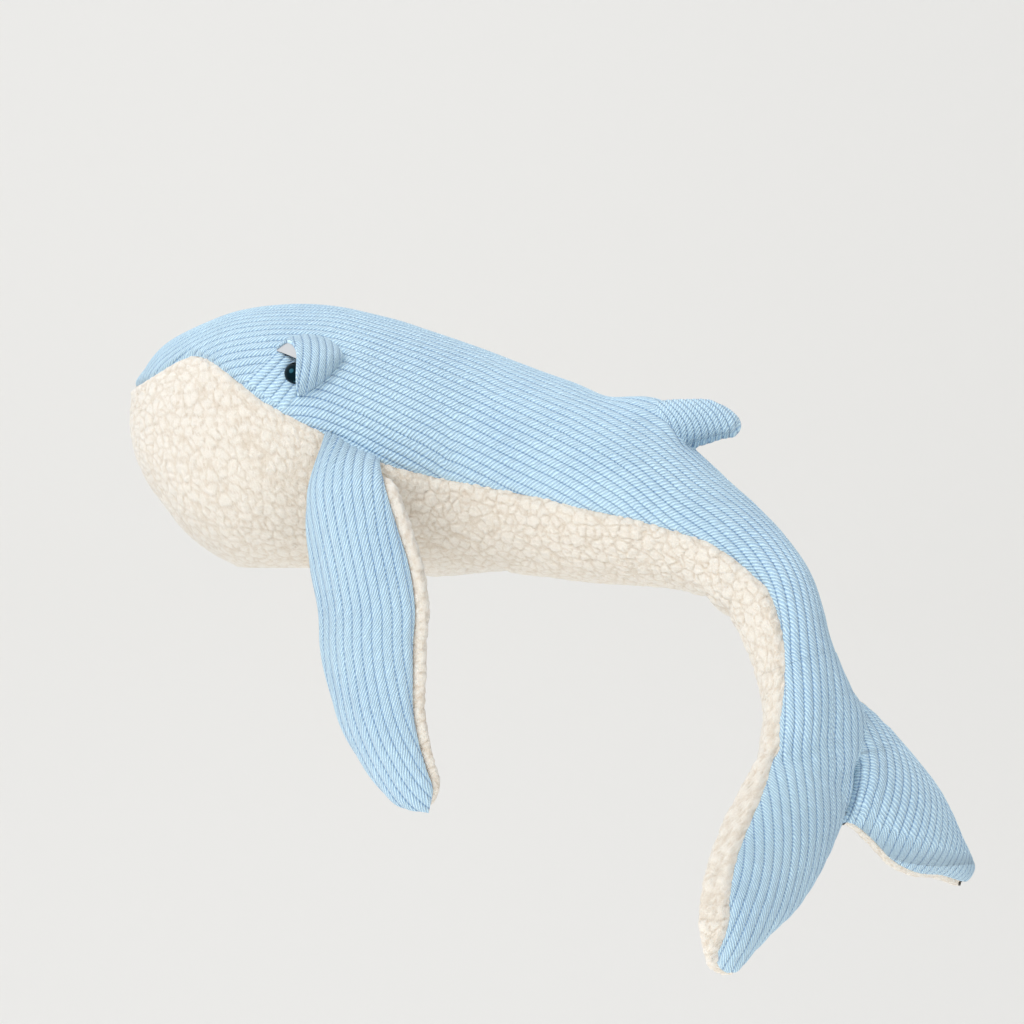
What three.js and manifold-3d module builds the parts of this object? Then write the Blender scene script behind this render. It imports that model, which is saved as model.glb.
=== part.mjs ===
// A stuffed toy whale, lying on its belly with the tail hanging down in front of the edge it lies on.
// Knitted back, curly pile belly, two side fins, a small back fin and a two-lobed tail fin, all stuffed.
// Millimetres, +X from nose to tail, +Z up, the whale's left side towards -Y.
// The origin is on the plane that the belly rests on, under the thickest part of the trunk.
import * as THREE from "three";
import { mergeVertices } from "three/addons/utils/BufferGeometryUtils.js";
import Module from "manifold-3d";

const wasm = await Module();
wasm.setup();

// Driving dimensions of the body
const bodyReach = 530; // nose to the middle of the tail fin, along X
const trunkHeight = 210; // belly to back at the thickest section
const trunkWidth = 206; // side to side there
const tailDrop = 130; // the middle of the tail fin below the resting plane
const tailForward = 152; // the middle of the tail fin in front of the trunk's middle plane
const restDepth = 0.5; // how deep the resting belly is pressed flat

// Driving dimensions of the covers and the stuffing
const knitThickness = 3;
const pileThickness = 7;
const seamGap = 0.5; // between two covers along a seam
const stuffingGap = 0.8; // between a cover and the stuffing in it
const limbGap = 0.35; // between a limb and the body it is sewn to
const bendGap = 0.5; // between a soft bend and the lengths it joins

// Driving dimensions of the fins
const finLength = 285;
const finWidth = 86;
const finThickness = 34;
const backFinLength = 65; // along the back
const backFinHeight = 38; // off the back
const backFinSweep = 49; // how far its tip leans towards the tail
const backFinThickness = 34;
const flukeLength = 192; // tail fin: from its middle to the tip of one lobe
const flukeChord = 89; // across one lobe
const flukeThickness = 40;

// Driving dimensions of the eyes
const eyeDiameter = 18;
const eyeHeight = 6;
const eyeFlange = 1.2;
const shankDiameter = 4.5;
const shankLength = 11;
const washerDiameter = 15;
const washerThickness = 2;
const bossThickness = 2;
const shankClearance = 0.35;
const eyeGap = 1; // the skin is curved and the eye's back is flat
const washerGap = 1.3;
const lidThickness = 3;
const lidLift = 12; // how far the free edge of the lid stands off the skin
const lidGap = 0.4;

// Fineness of the facets: across each cover, and from one end of each length to the other
const backSteps = 6;
const bellySteps = 8;
const limbSteps = 5;
const trunkRows = 15;
const upperRows = 4;
const lowerRows = 6;
const bendRows = 3;
const rootRows = 2;
const finRows = 8;
const backFinRows = 3;
const flukeRows = 5;
const patchGrid = [4, 4];
const lidGrid = [4, 6];
const domeRows = 4;
const around = 16;
const overrun = 4; // how far a cutting tool runs past what it cuts

const wholeTurnDegrees = 360;
const degrees = Math.PI / 180;
const smallStepShare = 0.02; // of a station, to find the skin's direction
const smallTurnDegrees = 1; // degrees
const tipShare = 0.12; // of a station, between a tip and where its covers end
const beforeTipShare = 0.5; // of a station, from the last full row to the tip
const bluntStation = 2; // body station up to which an inset follows the skin's normal
const bluntFadeStations = 4; // stations over which it turns to smaller sections
const patchMarginShare = 0.012; // of a patch's size, between it and the panel it is let into
const sweptStation = 8; // of a fin, from which its turn towards the tail is complete

// Body stations from the nose to the middle of the tail fin. x, y, tall and wide are shares of
// bodyReach, tailForward, half of trunkHeight and half of trunkWidth. A station rests on the plane,
// or its middle is at rise, a share of trunkHeight, less drop, a share of tailDrop. lean tips the
// section towards the tail, yaw turns it towards the front, roll twists the back towards the
// front, and seam is the turn from the middle of the back to the belly seam, all in degrees.
const noseShare = -0.4;
const bodyStationShares = [
  { x: 0, y: 0, rise: 0.69, tall: 0, wide: 0, lean: 18, yaw: 0, roll: 0, seam: 90 },
  { x: 0.005, y: 0, rise: 0.693, tall: 0.125, wide: 0.145, lean: 18, yaw: 0, roll: 0, seam: 90 },
  { x: 0.012, y: 0, rise: 0.678, tall: 0.26, wide: 0.3, lean: 14.5, yaw: 0, roll: 0, seam: 80 },
  { x: 0.024, y: 0, rise: 0.648, tall: 0.407, wide: 0.466, lean: 13, yaw: 0, roll: 0, seam: 69 },
  { x: 0.045, y: 0, rise: 0.614, tall: 0.556, wide: 0.62, lean: 12.5, yaw: 0, roll: 0, seam: 58 },
  { x: 0.079, y: 0, rise: 0.585, tall: 0.712, wide: 0.767, lean: 11.5, yaw: 0, roll: 0, seam: 52 },
  { x: 0.128, y: 0, rise: 0.539, tall: 0.893, wide: 0.913, lean: 9.5, yaw: 0, roll: 0, seam: 62 },
  { x: 0.2, y: 0, rests: true, tall: 1.008, wide: 1, lean: 7.5, yaw: 0, roll: 0, seam: 76 },
  { x: 0.277, y: 0, rests: true, tall: 0.998, wide: 1.02, lean: 5.5, yaw: 0, roll: 0, seam: 87 },
  { x: 0.349, y: 0, rests: true, tall: 0.958, wide: 1, lean: 6.5, yaw: 1, roll: 0, seam: 94 },
  { x: 0.49, y: 0.02, rests: true, tall: 0.851, wide: 0.922, lean: 10, yaw: 8, roll: 0, seam: 99 },
  { x: 0.558, y: 0.09, rests: true, tall: 0.781, wide: 0.854, lean: 11.5, yaw: 17, roll: 0, seam: 100 },
  { x: 0.663, y: 0.263, rise: 0.314, tall: 0.69, wide: 0.738, lean: 14.5, yaw: 25, roll: 0, seam: 101 },
  { x: 0.724, y: 0.382, rise: 0.271, tall: 0.634, wide: 0.68, lean: 15.5, yaw: 27, roll: 0, seam: 102 },
  { x: 0.772, y: 0.46, rise: 0.228, tall: 0.561, wide: 0.621, lean: 18.5, yaw: 26, roll: 0, seam: 102 },
  { x: 0.834, y: 0.579, rise: 0.151, tall: 0.443, wide: 0.495, lean: 25, yaw: 24, roll: 3, seam: 97 },
  { x: 0.883, y: 0.684, rise: 0.071, tall: 0.373, wide: 0.417, lean: 35.5, yaw: 25, roll: 8, seam: 91 },
  { x: 0.922, y: 0.776, drop: 0.046, tall: 0.35, wide: 0.379, lean: 47.5, yaw: 25, roll: 15, seam: 82 },
  { x: 0.943, y: 0.849, drop: 0.177, tall: 0.333, wide: 0.35, lean: 60, yaw: 22, roll: 20, seam: 76 },
  { x: 0.957, y: 0.914, drop: 0.342, tall: 0.311, wide: 0.33, lean: 68, yaw: 18, roll: 26, seam: 73 },
  { x: 0.968, y: 0.947, drop: 0.484, tall: 0.276, wide: 0.301, lean: 70, yaw: 12, roll: 33, seam: 75 },
  { x: 0.988, y: 0.987, drop: 0.748, tall: 0.238, wide: 0.369, lean: 74, yaw: 6, roll: 50, seam: 79 },
  { x: 1, y: 1, drop: 1, tall: 0.2, wide: 0.49, lean: 73, yaw: 3, roll: 60, seam: 86 },
  { x: 1.018, y: 1, drop: 1.2, tall: 0.15, wide: 0.35, lean: 71, yaw: 0, roll: 60, seam: 90 },
  { x: 1.026, y: 1, drop: 1.31, tall: 0, wide: 0, lean: 70, yaw: 0, roll: 60, seam: 90 },
];
const restEndStation = 11.1; // the belly leaves the resting plane here
const trunkEndStation = 14.5;
const upperStartStation = 15.7;
const upperEndStation = 18;
const lowerStartStation = 19.4;
const bodyEndStation = bodyStationShares.length - 1;
const forkStation = 22;
const flatnessPower = 2.5; // how full the belly is below the widest line: 2 would be an ellipse

// Side fin stations from the sewn edge to the tip. along and across are shares of finLength and
// finWidth, wide a share of half of finWidth and thick of half of finThickness; slant in degrees.
const finStationShares = [
  { along: 0, across: 0, wide: 0.64, thick: 0.62, slant: 18 },
  { along: 0.072, across: 0.02, wide: 0.66, thick: 0.8, slant: 6 },
  { along: 0.165, across: 0.06, wide: 0.77, thick: 0.95, slant: 1 },
  { along: 0.266, across: 0.12, wide: 0.92, thick: 1, slant: 0 },
  { along: 0.36, across: 0.19, wide: 1, thick: 1, slant: -1 },
  { along: 0.47, across: 0.25, wide: 0.98, thick: 0.98, slant: -1 },
  { along: 0.564, across: 0.25, wide: 0.935, thick: 0.93, slant: -2 },
  { along: 0.656, across: 0.28, wide: 0.86, thick: 0.87, slant: -4 },
  { along: 0.744, across: 0.33, wide: 0.756, thick: 0.8, slant: -7 },
  { along: 0.827, across: 0.43, wide: 0.642, thick: 0.72, slant: -12 },
  { along: 0.904, across: 0.56, wide: 0.514, thick: 0.61, slant: -19 },
  { along: 0.957, across: 0.68, wide: 0.37, thick: 0.46, slant: -25 },
  { along: 1, across: 0.78, wide: 0, thick: 0, slant: -30 },
];
const finRootStation = 1;
const finTipStation = finStationShares.length - 1;
const finStation = 8.85; // body station of the sewn edge
const finSunkShare = 0.1; // of finThickness, inside the body before it is cut

// Back fin stations. along, rise, wide and thick are shares of backFinSweep, backFinHeight and
// half of backFinLength and backFinThickness.
const backFinStationShares = [
  { along: -0.1, rise: -0.24, wide: 1.04, thick: 1, slant: 0 },
  { along: 0.02, rise: 0.02, wide: 0.98, thick: 0.98, slant: 0 },
  { along: 0.24, rise: 0.29, wide: 0.82, thick: 0.92, slant: -4 },
  { along: 0.5, rise: 0.58, wide: 0.62, thick: 0.8, slant: -10 },
  { along: 0.72, rise: 0.81, wide: 0.45, thick: 0.64, slant: -18 },
  { along: 0.89, rise: 0.93, wide: 0.25, thick: 0.42, slant: -23 },
  { along: 1, rise: 1, wide: 0, thick: 0, slant: -25 },
];
const backFinRootStation = 1.6;
const backFinTipStation = backFinStationShares.length - 1;
const backFinStation = 13.95;

// Tail lobe stations from the middle of the tail fin to the tip of a lobe. back and spread are
// shares of flukeLength, wide of half of flukeChord, thick of half of flukeThickness.
const flukeStationShares = [
  { back: 0.03, spread: 0.05, wide: 0.7, thick: 0.7, slant: 40 },
  { back: 0.128, spread: 0.12, wide: 0.95, thick: 0.92, slant: 45 },
  { back: 0.204, spread: 0.219, wide: 0.985, thick: 1, slant: 51 },
  { back: 0.29, spread: 0.313, wide: 1, thick: 1, slant: 57 },
  { back: 0.389, spread: 0.41, wide: 0.99, thick: 0.96, slant: 61 },
  { back: 0.485, spread: 0.504, wide: 0.9, thick: 0.88, slant: 63 },
  { back: 0.56, spread: 0.59, wide: 0.718, thick: 0.76, slant: 64 },
  { back: 0.62, spread: 0.654, wide: 0.508, thick: 0.6, slant: 61 },
  { back: 0.664, spread: 0.702, wide: 0.303, thick: 0.42, slant: 56 },
  { back: 0.692, spread: 0.719, wide: 0, thick: 0, slant: 50 },
];
const flukeRootStation = 1.9;
const flukeTipStation = flukeStationShares.length - 1;

// How each limb is held in this pose: slope of the fin from straight down to level, station by
// station, its turn towards the tail, and the twist that shows its lining, all in degrees.
const finPoses = {
  left: { side: 1, slopes: [66, 42, 18, 4, 0, 0, 0, 0, 0, 0, 0, 0, 0], sweep: 0, twist: 16 },
  right: { side: -1, slopes: [62, 40, 34, 44, 66, 84, 90, 90, 90, 90, 90, 90, 90], sweep: 52, twist: 0 },
};
const flukePoses = {
  left: { side: 1, turn: 0, fold: 0, curl: 0 },
  right: { side: -1, turn: 2, fold: 0, curl: 52 },
};

// Places on the head, as body stations and turns from the middle of the back in degrees
const eyePlace = { station: 7.62, turn: 64.5 };
const eyePatchCorners = [
  { station: 7.18, turn: 51 },
  { station: 6.62, turn: 67 },
  { station: 7.53, turn: 78 },
  { station: 8.06, turn: 64 },
];
const lidCorners = [
  { station: 7.19, turn: 47.5 },
  { station: 7.76, turn: 75 },
  { station: 8.59, turn: 55 },
  { station: 8.39, turn: 47 },
];

// A row between the stations of a table, by a smooth curve through all of them.
function rowAt(table, at) {
  const i = Math.min(Math.max(Math.floor(at), 0), table.length - 2);
  const f = at - i;
  const rows = [-1, 0, 1, 2].map((k) => table[Math.min(Math.max(i + k, 0), table.length - 1)]);
  const row = {};
  for (const key of Object.keys(rows[1])) {
    const [a, b, c, d] = rows.map((r) => r[key]);
    const bend = 2 * a - 5 * b + 4 * c - d;
    row[key] = b + 0.5 * f * (c - a + f * (bend + f * (3 * (b - c) + d - a)));
  }
  return row;
}

const arrow = (x, y, z) => new THREE.Vector3(x, y, z);
const blendOf = (...terms) =>
  terms.reduce((sum, [v, n]) => sum.addScaledVector(v, n), new THREE.Vector3());

// The body's stations in millimetres.
const bodyStations = bodyStationShares.map((s) => {
  const tall = (s.tall * trunkHeight) / 2;
  const rise = s.rests ? tall * Math.cos(s.lean * degrees) - restDepth : (s.rise || 0) * trunkHeight;
  return {
    x: (noseShare + s.x) * bodyReach,
    y: -s.y * tailForward,
    z: rise - (s.drop || 0) * tailDrop,
    tall,
    wide: (s.wide * trunkWidth) / 2,
    lean: s.lean,
    yaw: s.yaw,
    roll: s.roll,
    seam: s.seam,
  };
});

// The middle of the body at a station, its axes there and its half sizes.
function bodyFrame(at) {
  const s = rowAt(bodyStations, at);
  const [lean, yaw, roll] = [s.lean, s.yaw, s.roll].map((angle) => angle * degrees);
  const up = arrow(Math.sin(lean), 0, Math.cos(lean));
  const level = arrow(Math.cos(lean), 0, -Math.sin(lean));
  const front = arrow(0, -1, 0);
  const along = blendOf([level, Math.cos(yaw)], [front, Math.sin(yaw)]);
  const left = blendOf([front, Math.cos(yaw)], [level, -Math.sin(yaw)]);
  const back = blendOf([up, Math.cos(roll)], [left, Math.sin(roll)]);
  const side = blendOf([left, Math.cos(roll)], [up, -Math.sin(roll)]);
  return { middle: arrow(s.x, s.y, s.z), along, back, side, tall: s.tall, wide: s.wide, seam: s.seam };
}

// The share of a half size at an angle on a section that is rounder than an ellipse where full > 2.
const fullness = (value, full) => Math.sign(value) * Math.abs(value) ** (2 / full);

// A half size drawn in by an inset, but never to nothing.
const drawnIn = (half, inset) =>
  half > 2 * inset ? half - inset : (half * half) / (4 * inset);

// The body's skin: a point at a station and a turn around it from the middle of the back. An
// inset makes the section's half sizes smaller, but on the blunt nose it follows the skin's normal.
function bodySkin(at, turn, inset = 0) {
  const f = bodyFrame(at);
  const [c, s] = [Math.cos(turn * degrees), Math.sin(turn * degrees)];
  const full = c < 0 ? flatnessPower : 2;
  const [tall, wide] = [f.tall, f.wide].map((half) => (inset ? drawnIn(half, inset) : half));
  return blendOf([f.middle, 1], [f.back, fullness(c, full) * tall], [f.side, fullness(s, full) * wide]);
}

function bodyPoint(at, turn, inset = 0) {
  const point = bodySkin(at, turn);
  if (!inset) return point;
  if (at <= 0) return point.addScaledVector(bodyFrame(0).along, inset);
  if (at >= bodyEndStation) return point.addScaledVector(bodyFrame(bodyEndStation).along, -inset);
  const level = Math.min(Math.max((at - bluntStation) / bluntFadeStations, 0), 1);
  const near = bodySkin(at + smallStepShare, turn).sub(bodySkin(at - smallStepShare, turn));
  const round = bodySkin(at, turn + smallTurnDegrees).sub(bodySkin(at, turn - smallTurnDegrees));
  const drawn = point.clone().addScaledVector(round.cross(near).normalize(), -inset);
  return drawn.lerp(bodySkin(at, turn, inset), level);
}

// A limb's skin. Its sections are flat ovals between a middle line and two half sizes, which an
// inset makes smaller, and frameAt gives a section's middle, its directions and its half sizes.
function limbForm(frameAt, last) {
  const lastLength = frameAt(last).middle.distanceTo(frameAt(last - 1).middle);
  const point = (at, turn, inset = 0) => {
    const tip = last - inset / lastLength;
    if (at > tip) return frameAt(tip).middle;
    const f = frameAt(at);
    const [wide, thick] = [f.wide, f.thick].map((half) => (inset ? drawnIn(half, inset) : half));
    const [c, s] = [Math.cos(turn * degrees), Math.sin(turn * degrees)];
    return blendOf([f.middle, 1], [f.face, c * thick], [f.across, s * wide]);
  };
  return { point, last, startPole: false, endPole: true };
}

const bodyForm = { point: bodyPoint, last: bodyEndStation, startPole: true, endPole: true };
const isPole = (form, at) => (form.startPole && at <= 0) || (form.endPole && at >= form.last);

function stationList(from, to, count) {
  return Array.from({ length: count + 1 }, (_, i) => from + ((to - from) * i) / count);
}

// A closed mesh from rows of points, in which a row may be one point repeated.
class Shell {
  constructor() {
    this.points = [];
    this.faces = [];
  }
  add(point) {
    this.points.push(point.x, point.y, point.z);
    return this.points.length / 3 - 1;
  }
  quad(a, b, c, d) {
    if (a !== b && b !== c && a !== c) this.faces.push(a, b, c);
    if (a !== c && c !== d && a !== d) this.faces.push(a, c, d);
  }
  band(low, high, inside = false) {
    for (let j = 0; j + 1 < low.length; j += 1) {
      if (inside) this.quad(low[j], high[j], high[j + 1], low[j + 1]);
      else this.quad(low[j], low[j + 1], high[j + 1], high[j]);
    }
  }
  cap(ring, flip) {
    const middle = new THREE.Vector3();
    for (const k of ring) middle.add(arrow(...this.points.slice(3 * k, 3 * k + 3)));
    const centre = this.add(middle.divideScalar(ring.length));
    ring.forEach((a, j) => {
      const b = ring[(j + 1) % ring.length];
      this.faces.push(centre, ...(flip ? [b, a] : [a, b]));
    });
  }
  geometry() {
    const geometry = new THREE.BufferGeometry();
    geometry.setAttribute("position", new THREE.Float32BufferAttribute(this.points, 3));
    geometry.setIndex(this.faces);
    return geometry;
  }
}

// A cover cut from a form: a thin shell between two turns, from one station to another. At the
// nose or a tip it ends in one point, a little off the others' points.
function panel(form, stations, turnsAt, steps, thickness, outset = 0) {
  const shell = new Shell();
  const layer = (inset) =>
    stations.map((at) => {
      const [from, to] = turnsAt(at);
      if (isPole(form, at)) {
        const beside = at <= 0 ? at + tipShare : at - tipShare;
        const only = shell.add(form.point(beside, (from + to) / 2, inset));
        return Array(steps + 1).fill(only);
      }
      return stationList(from, to, steps).map((turn) => shell.add(form.point(at, turn, inset)));
    });
  const outer = layer(-outset);
  const inner = layer(thickness);
  const last = stations.length - 1;
  for (let i = 0; i < last; i += 1) {
    shell.band(outer[i], outer[i + 1]);
    shell.band(inner[i], inner[i + 1], true);
    shell.quad(inner[i][0], outer[i][0], outer[i + 1][0], inner[i + 1][0]);
    shell.quad(outer[i][steps], inner[i][steps], inner[i + 1][steps], outer[i + 1][steps]);
  }
  shell.band(inner[0], outer[0]);
  shell.band(outer[last], inner[last]);
  return shell.geometry();
}

// The solid inside a form, drawn in from its skin, from one station to another.
function filling(form, stations, turnsAt, insetAt) {
  const shell = new Shell();
  const rings = stations.map((at) => {
    const turns = turnsAt(at);
    if (isPole(form, at)) {
      const only = shell.add(form.point(at, 0, insetAt(at, wholeTurnDegrees / 2)));
      return Array(turns.length).fill(only);
    }
    return turns.map((turn) => shell.add(form.point(at, turn, insetAt(at, turn))));
  });
  const closed = rings.map((ring) => [...ring, ring[0]]);
  for (let i = 0; i + 1 < rings.length; i += 1) shell.band(closed[i], closed[i + 1]);
  if (!isPole(form, stations[0])) shell.cap(rings[0], true);
  if (!isPole(form, stations[stations.length - 1])) shell.cap(rings[rings.length - 1], false);
  return shell.geometry();
}

// Booleans on closed meshes.
function solidOf(geometry) {
  const bare = geometry.clone();
  bare.deleteAttribute("normal");
  bare.deleteAttribute("uv");
  const merged = mergeVertices(bare);
  return new wasm.Manifold(
    new wasm.Mesh({
      numProp: 3,
      vertProperties: merged.attributes.position.array,
      triVerts: new Uint32Array(merged.index.array),
    }),
  );
}

function geometryOf(solid) {
  const mesh = solid.getMesh();
  const geometry = new THREE.BufferGeometry();
  geometry.setAttribute("position", new THREE.Float32BufferAttribute(mesh.vertProperties, 3));
  geometry.setIndex(Array.from(mesh.triVerts));
  return geometry;
}

const cut = (geometry, ...tools) =>
  geometryOf(tools.reduce((solid, tool) => solid.subtract(solidOf(tool)), solidOf(geometry)));

// The body's turns, from one belly seam over the back to the other and on around the belly.
function bodyTurns(at) {
  const { seam } = rowAt(bodyStations, at);
  const back = stationList(-seam, seam, 2 * backSteps);
  const belly = stationList(seam, wholeTurnDegrees - seam, bellySteps);
  return [...back, ...belly.slice(1, -1)];
}

// Half a seam's gap at a station, as a turn.
function gapTurn(at) {
  const f = bodyFrame(Math.max(at, tipShare));
  return seamGap / (f.tall + f.wide) / degrees;
}

const bodyCovers = {
  left_back: (at) => [gapTurn(at), rowAt(bodyStations, at).seam - gapTurn(at)],
  right_back: (at) => [gapTurn(at) - rowAt(bodyStations, at).seam, -gapTurn(at)],
  belly: (at) => {
    const edge = rowAt(bodyStations, at).seam + gapTurn(at);
    return [edge, wholeTurnDegrees - edge];
  },
};

function bodyInset(at, turn) {
  const { seam } = rowAt(bodyStations, at);
  const onBack = Math.abs(turn) < seam - smallTurnDegrees;
  return (onBack ? knitThickness : pileThickness) + stuffingGap;
}

// The covers and the stuffing of one length of the body.
function bodySection(names, stations) {
  const sides = Object.entries(bodyCovers).map(([side, turnsAt]) => {
    const pile = side === "belly";
    const [steps, thickness] = pile ? [bellySteps, pileThickness] : [backSteps, knitThickness];
    return [names[side], panel(bodyForm, stations, turnsAt, steps, thickness)];
  });
  const stuffing = filling(bodyForm, stations, bodyTurns, bodyInset);
  return { ...Object.fromEntries(sides), [names.stuffing]: stuffing };
}

// A box below the plane that the belly rests on, from the nose to where the belly leaves the plane.
function belowPlane() {
  const size = 2 * bodyReach;
  const { x } = bodyFrame(restEndStation).middle;
  return new THREE.BoxGeometry(size, size, size).translate(x - size / 2, 0, -size / 2);
}

// Trunk, the two lengths of the tail and the two soft bends between them.
const noseStations = [0, 0.5, 1, 1.5];
const trunkStations = [...noseStations, ...stationList(bluntStation, trunkEndStation, trunkRows)];
const upperStations = stationList(upperStartStation, upperEndStation, upperRows);
const lowerStations = [
  ...stationList(lowerStartStation, bodyEndStation - 1, lowerRows),
  bodyEndStation - beforeTipShare,
  bodyEndStation,
];
const trunk = bodySection(
  {
    left_back: "left_back_panel",
    right_back: "right_back_panel",
    belly: "belly_panel",
    stuffing: "trunk_stuffing",
  },
  trunkStations,
);
trunk.belly_panel = cut(trunk.belly_panel, belowPlane());
const tailNames = (part) => ({
  left_back: `${part}_left_back`,
  right_back: `${part}_right_back`,
  belly: `${part}_belly`,
  stuffing: `${part}_stuffing`,
});
const tailUpper = bodySection(tailNames("tail_upper"), upperStations);
const tailLower = bodySection(tailNames("tail_lower"), lowerStations);

const bend = (from, to) => {
  const length = bodyFrame(from).middle.distanceTo(bodyFrame(to).middle);
  const gap = (bendGap * (to - from)) / length;
  return filling(bodyForm, stationList(from + gap, to - gap, bendRows), bodyTurns, () => 0);
};
const bends = {
  tail_root_bend: bend(trunkEndStation, upperStartStation),
  tail_stock_bend: bend(upperEndStation, lowerStartStation),
};

// The body with a limb's gap around it, for what is cut by it.
const bodyTool = (stations) => filling(bodyForm, stations, bodyTurns, () => -limbGap);
const trunkTool = bodyTool([...trunkStations, upperStartStation]);
const tailLowerTool = bodyTool(lowerStations);

// Turns around a limb, on its face from one edge to the other and back over its lining.
const edgeTurnDegrees = 90;
const limbTurns = () => {
  const face = stationList(-edgeTurnDegrees, edgeTurnDegrees, limbSteps);
  const lining = stationList(edgeTurnDegrees, 3 * edgeTurnDegrees, limbSteps);
  return [...face, ...lining.slice(1, -1)];
};

// A limb's two covers, which meet at its edges, its stuffing, and its soft root, cut by the body.
function limbParts(names, thicknesses, frameAt, last, rootEnd, rows, tools) {
  const form = limbForm(frameAt, last);
  const rootLength = frameAt(rootEnd).middle.distanceTo(frameAt(rootEnd - 1).middle);
  const from = rootEnd + bendGap / rootLength;
  const stations = [...stationList(from, last - 1, rows), last - beforeTipShare, last];
  const edge = (at) => seamGap / 2 / Math.max(frameAt(at).thick, seamGap) / degrees;
  const face = (at) => [edge(at) - edgeTurnDegrees, edgeTurnDegrees - edge(at)];
  const lining = (at) => [edgeTurnDegrees + edge(at), 3 * edgeTurnDegrees - edge(at)];
  const inset = (at, turn) => {
    const onFace = Math.abs(turn) < edgeTurnDegrees;
    return (onFace ? thicknesses[0] : thicknesses[1]) + stuffingGap;
  };
  return {
    [names.root]: cut(filling(form, stationList(0, rootEnd, rootRows), limbTurns, () => 0), ...tools),
    [names.face]: panel(form, stations, face, limbSteps, thicknesses[0]),
    [names.lining]: panel(form, stations, lining, limbSteps, thicknesses[1]),
    [names.stuffing]: filling(form, stations, limbTurns, inset),
  };
}

// A side fin's path, from its sewn edge at the belly seam, in the pose it hangs or lies in.
function finFrames(pose) {
  const { side, slopes, sweep, twist } = pose;
  const root = bodyPoint(finStation, side * rowAt(bodyStations, finStation).seam);
  const towards = (at) => {
    const i = Math.min(Math.floor(at), finTipStation - 1);
    const slope = (slopes[i] + (slopes[i + 1] - slopes[i]) * (at - i)) * degrees;
    const turned = sweep * Math.min(at / sweptStation, 1) * degrees;
    const [level, down] = [Math.sin(slope), -Math.cos(slope)];
    const along = arrow(level * Math.sin(turned), -side * level * Math.cos(turned), down);
    const aft = arrow(Math.cos(turned), side * Math.sin(turned), 0);
    return { along, aft, out: aft.clone().cross(along).multiplyScalar(-side) };
  };
  const path = [root.clone().addScaledVector(towards(0).along, -finSunkShare * finThickness)];
  for (let i = 0; i < finTipStation; i += 1) {
    const length = (finStationShares[i + 1].along - finStationShares[i].along) * finLength;
    path.push(path[i].clone().addScaledVector(towards(i + 0.5).along, length));
  }
  const table = path.map(({ x, y, z }, i) => ({ x, y, z, ...finStationShares[i] }));
  return (at) => {
    const s = rowAt(table, at);
    const { along, aft, out } = towards(Math.min(at, finTipStation));
    const turned = twist * degrees;
    const across = blendOf([aft, Math.cos(turned)], [out, Math.sin(turned)]);
    const face = blendOf([out, Math.cos(turned)], [aft, -Math.sin(turned)]);
    const slanted = blendOf([across, Math.cos(s.slant * degrees)], [along, Math.sin(s.slant * degrees)]);
    return {
      middle: blendOf([arrow(s.x, s.y, s.z), 1], [across, s.across * finWidth]),
      face,
      across: slanted.multiplyScalar(-side),
      wide: (s.wide * finWidth) / 2,
      thick: (s.thick * finThickness) / 2,
    };
  };
}

// The back fin, on the middle of the back.
function backFinFrames() {
  const root = bodyPoint(backFinStation, 0);
  const aft = bodyPoint(backFinStation + smallStepShare, 0).sub(root).normalize();
  const off = bodyPoint(backFinStation, 0, -1).sub(root).normalize();
  const left = aft.clone().cross(off).normalize();
  return (at) => {
    const s = rowAt(backFinStationShares, at);
    return {
      middle: blendOf([root, 1], [aft, s.along * backFinSweep], [off, s.rise * backFinHeight]),
      face: left,
      across: blendOf([aft, Math.cos(s.slant * degrees)], [off, Math.sin(s.slant * degrees)]),
      wide: (s.wide * backFinLength) / 2,
      thick: (s.thick * backFinThickness) / 2,
    };
  };
}

// A lobe of the tail fin, bent away from the back by a fold at its root and a curl along it.
function flukeFrames({ side, turn, fold, curl }) {
  const { middle, along, back, side: left } = bodyFrame(forkStation);
  const [cos, sin] = [Math.cos(turn * degrees), Math.sin(turn * degrees)];
  return (at) => {
    const s = rowAt(flukeStationShares, at);
    const [aft, out] = [s.back * cos + s.spread * sin, s.spread * cos - s.back * sin];
    const start = fold * degrees;
    const bent = curl * degrees;
    const tilt = start + bent * out;
    const reach = bent ? (Math.sin(tilt) - Math.sin(start)) / bent : out * Math.cos(start);
    const dip = bent ? (Math.cos(start) - Math.cos(tilt)) / bent : out * Math.sin(start);
    const outward = blendOf([left, side * Math.cos(tilt)], [back, -Math.sin(tilt)]);
    const slant = (s.slant - turn) * degrees;
    return {
      middle: blendOf(
        [middle, 1],
        [along, aft * flukeLength],
        [left, side * reach * flukeLength],
        [back, -dip * flukeLength],
      ),
      face: blendOf([back, Math.cos(tilt)], [left, side * Math.sin(tilt)]),
      across: blendOf([along, -side * Math.cos(slant)], [outward, side * Math.sin(slant)]),
      wide: (s.wide * flukeChord) / 2,
      thick: (s.thick * flukeThickness) / 2,
    };
  };
}

// A box on the far side of the middle of the tail fin, to part the roots of its lobes.
function acrossTheFork(side) {
  const { middle, along, back, side: left } = bodyFrame(forkStation);
  const size = 2 * flukeLength;
  const beyond = left.clone().multiplyScalar(-side);
  const axes = new THREE.Matrix4().makeBasis(beyond, along, back.multiplyScalar(-side));
  axes.setPosition(middle.addScaledVector(beyond, (size - limbGap) / 2));
  return new THREE.BoxGeometry(size, size, size).applyMatrix4(axes);
}

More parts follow.
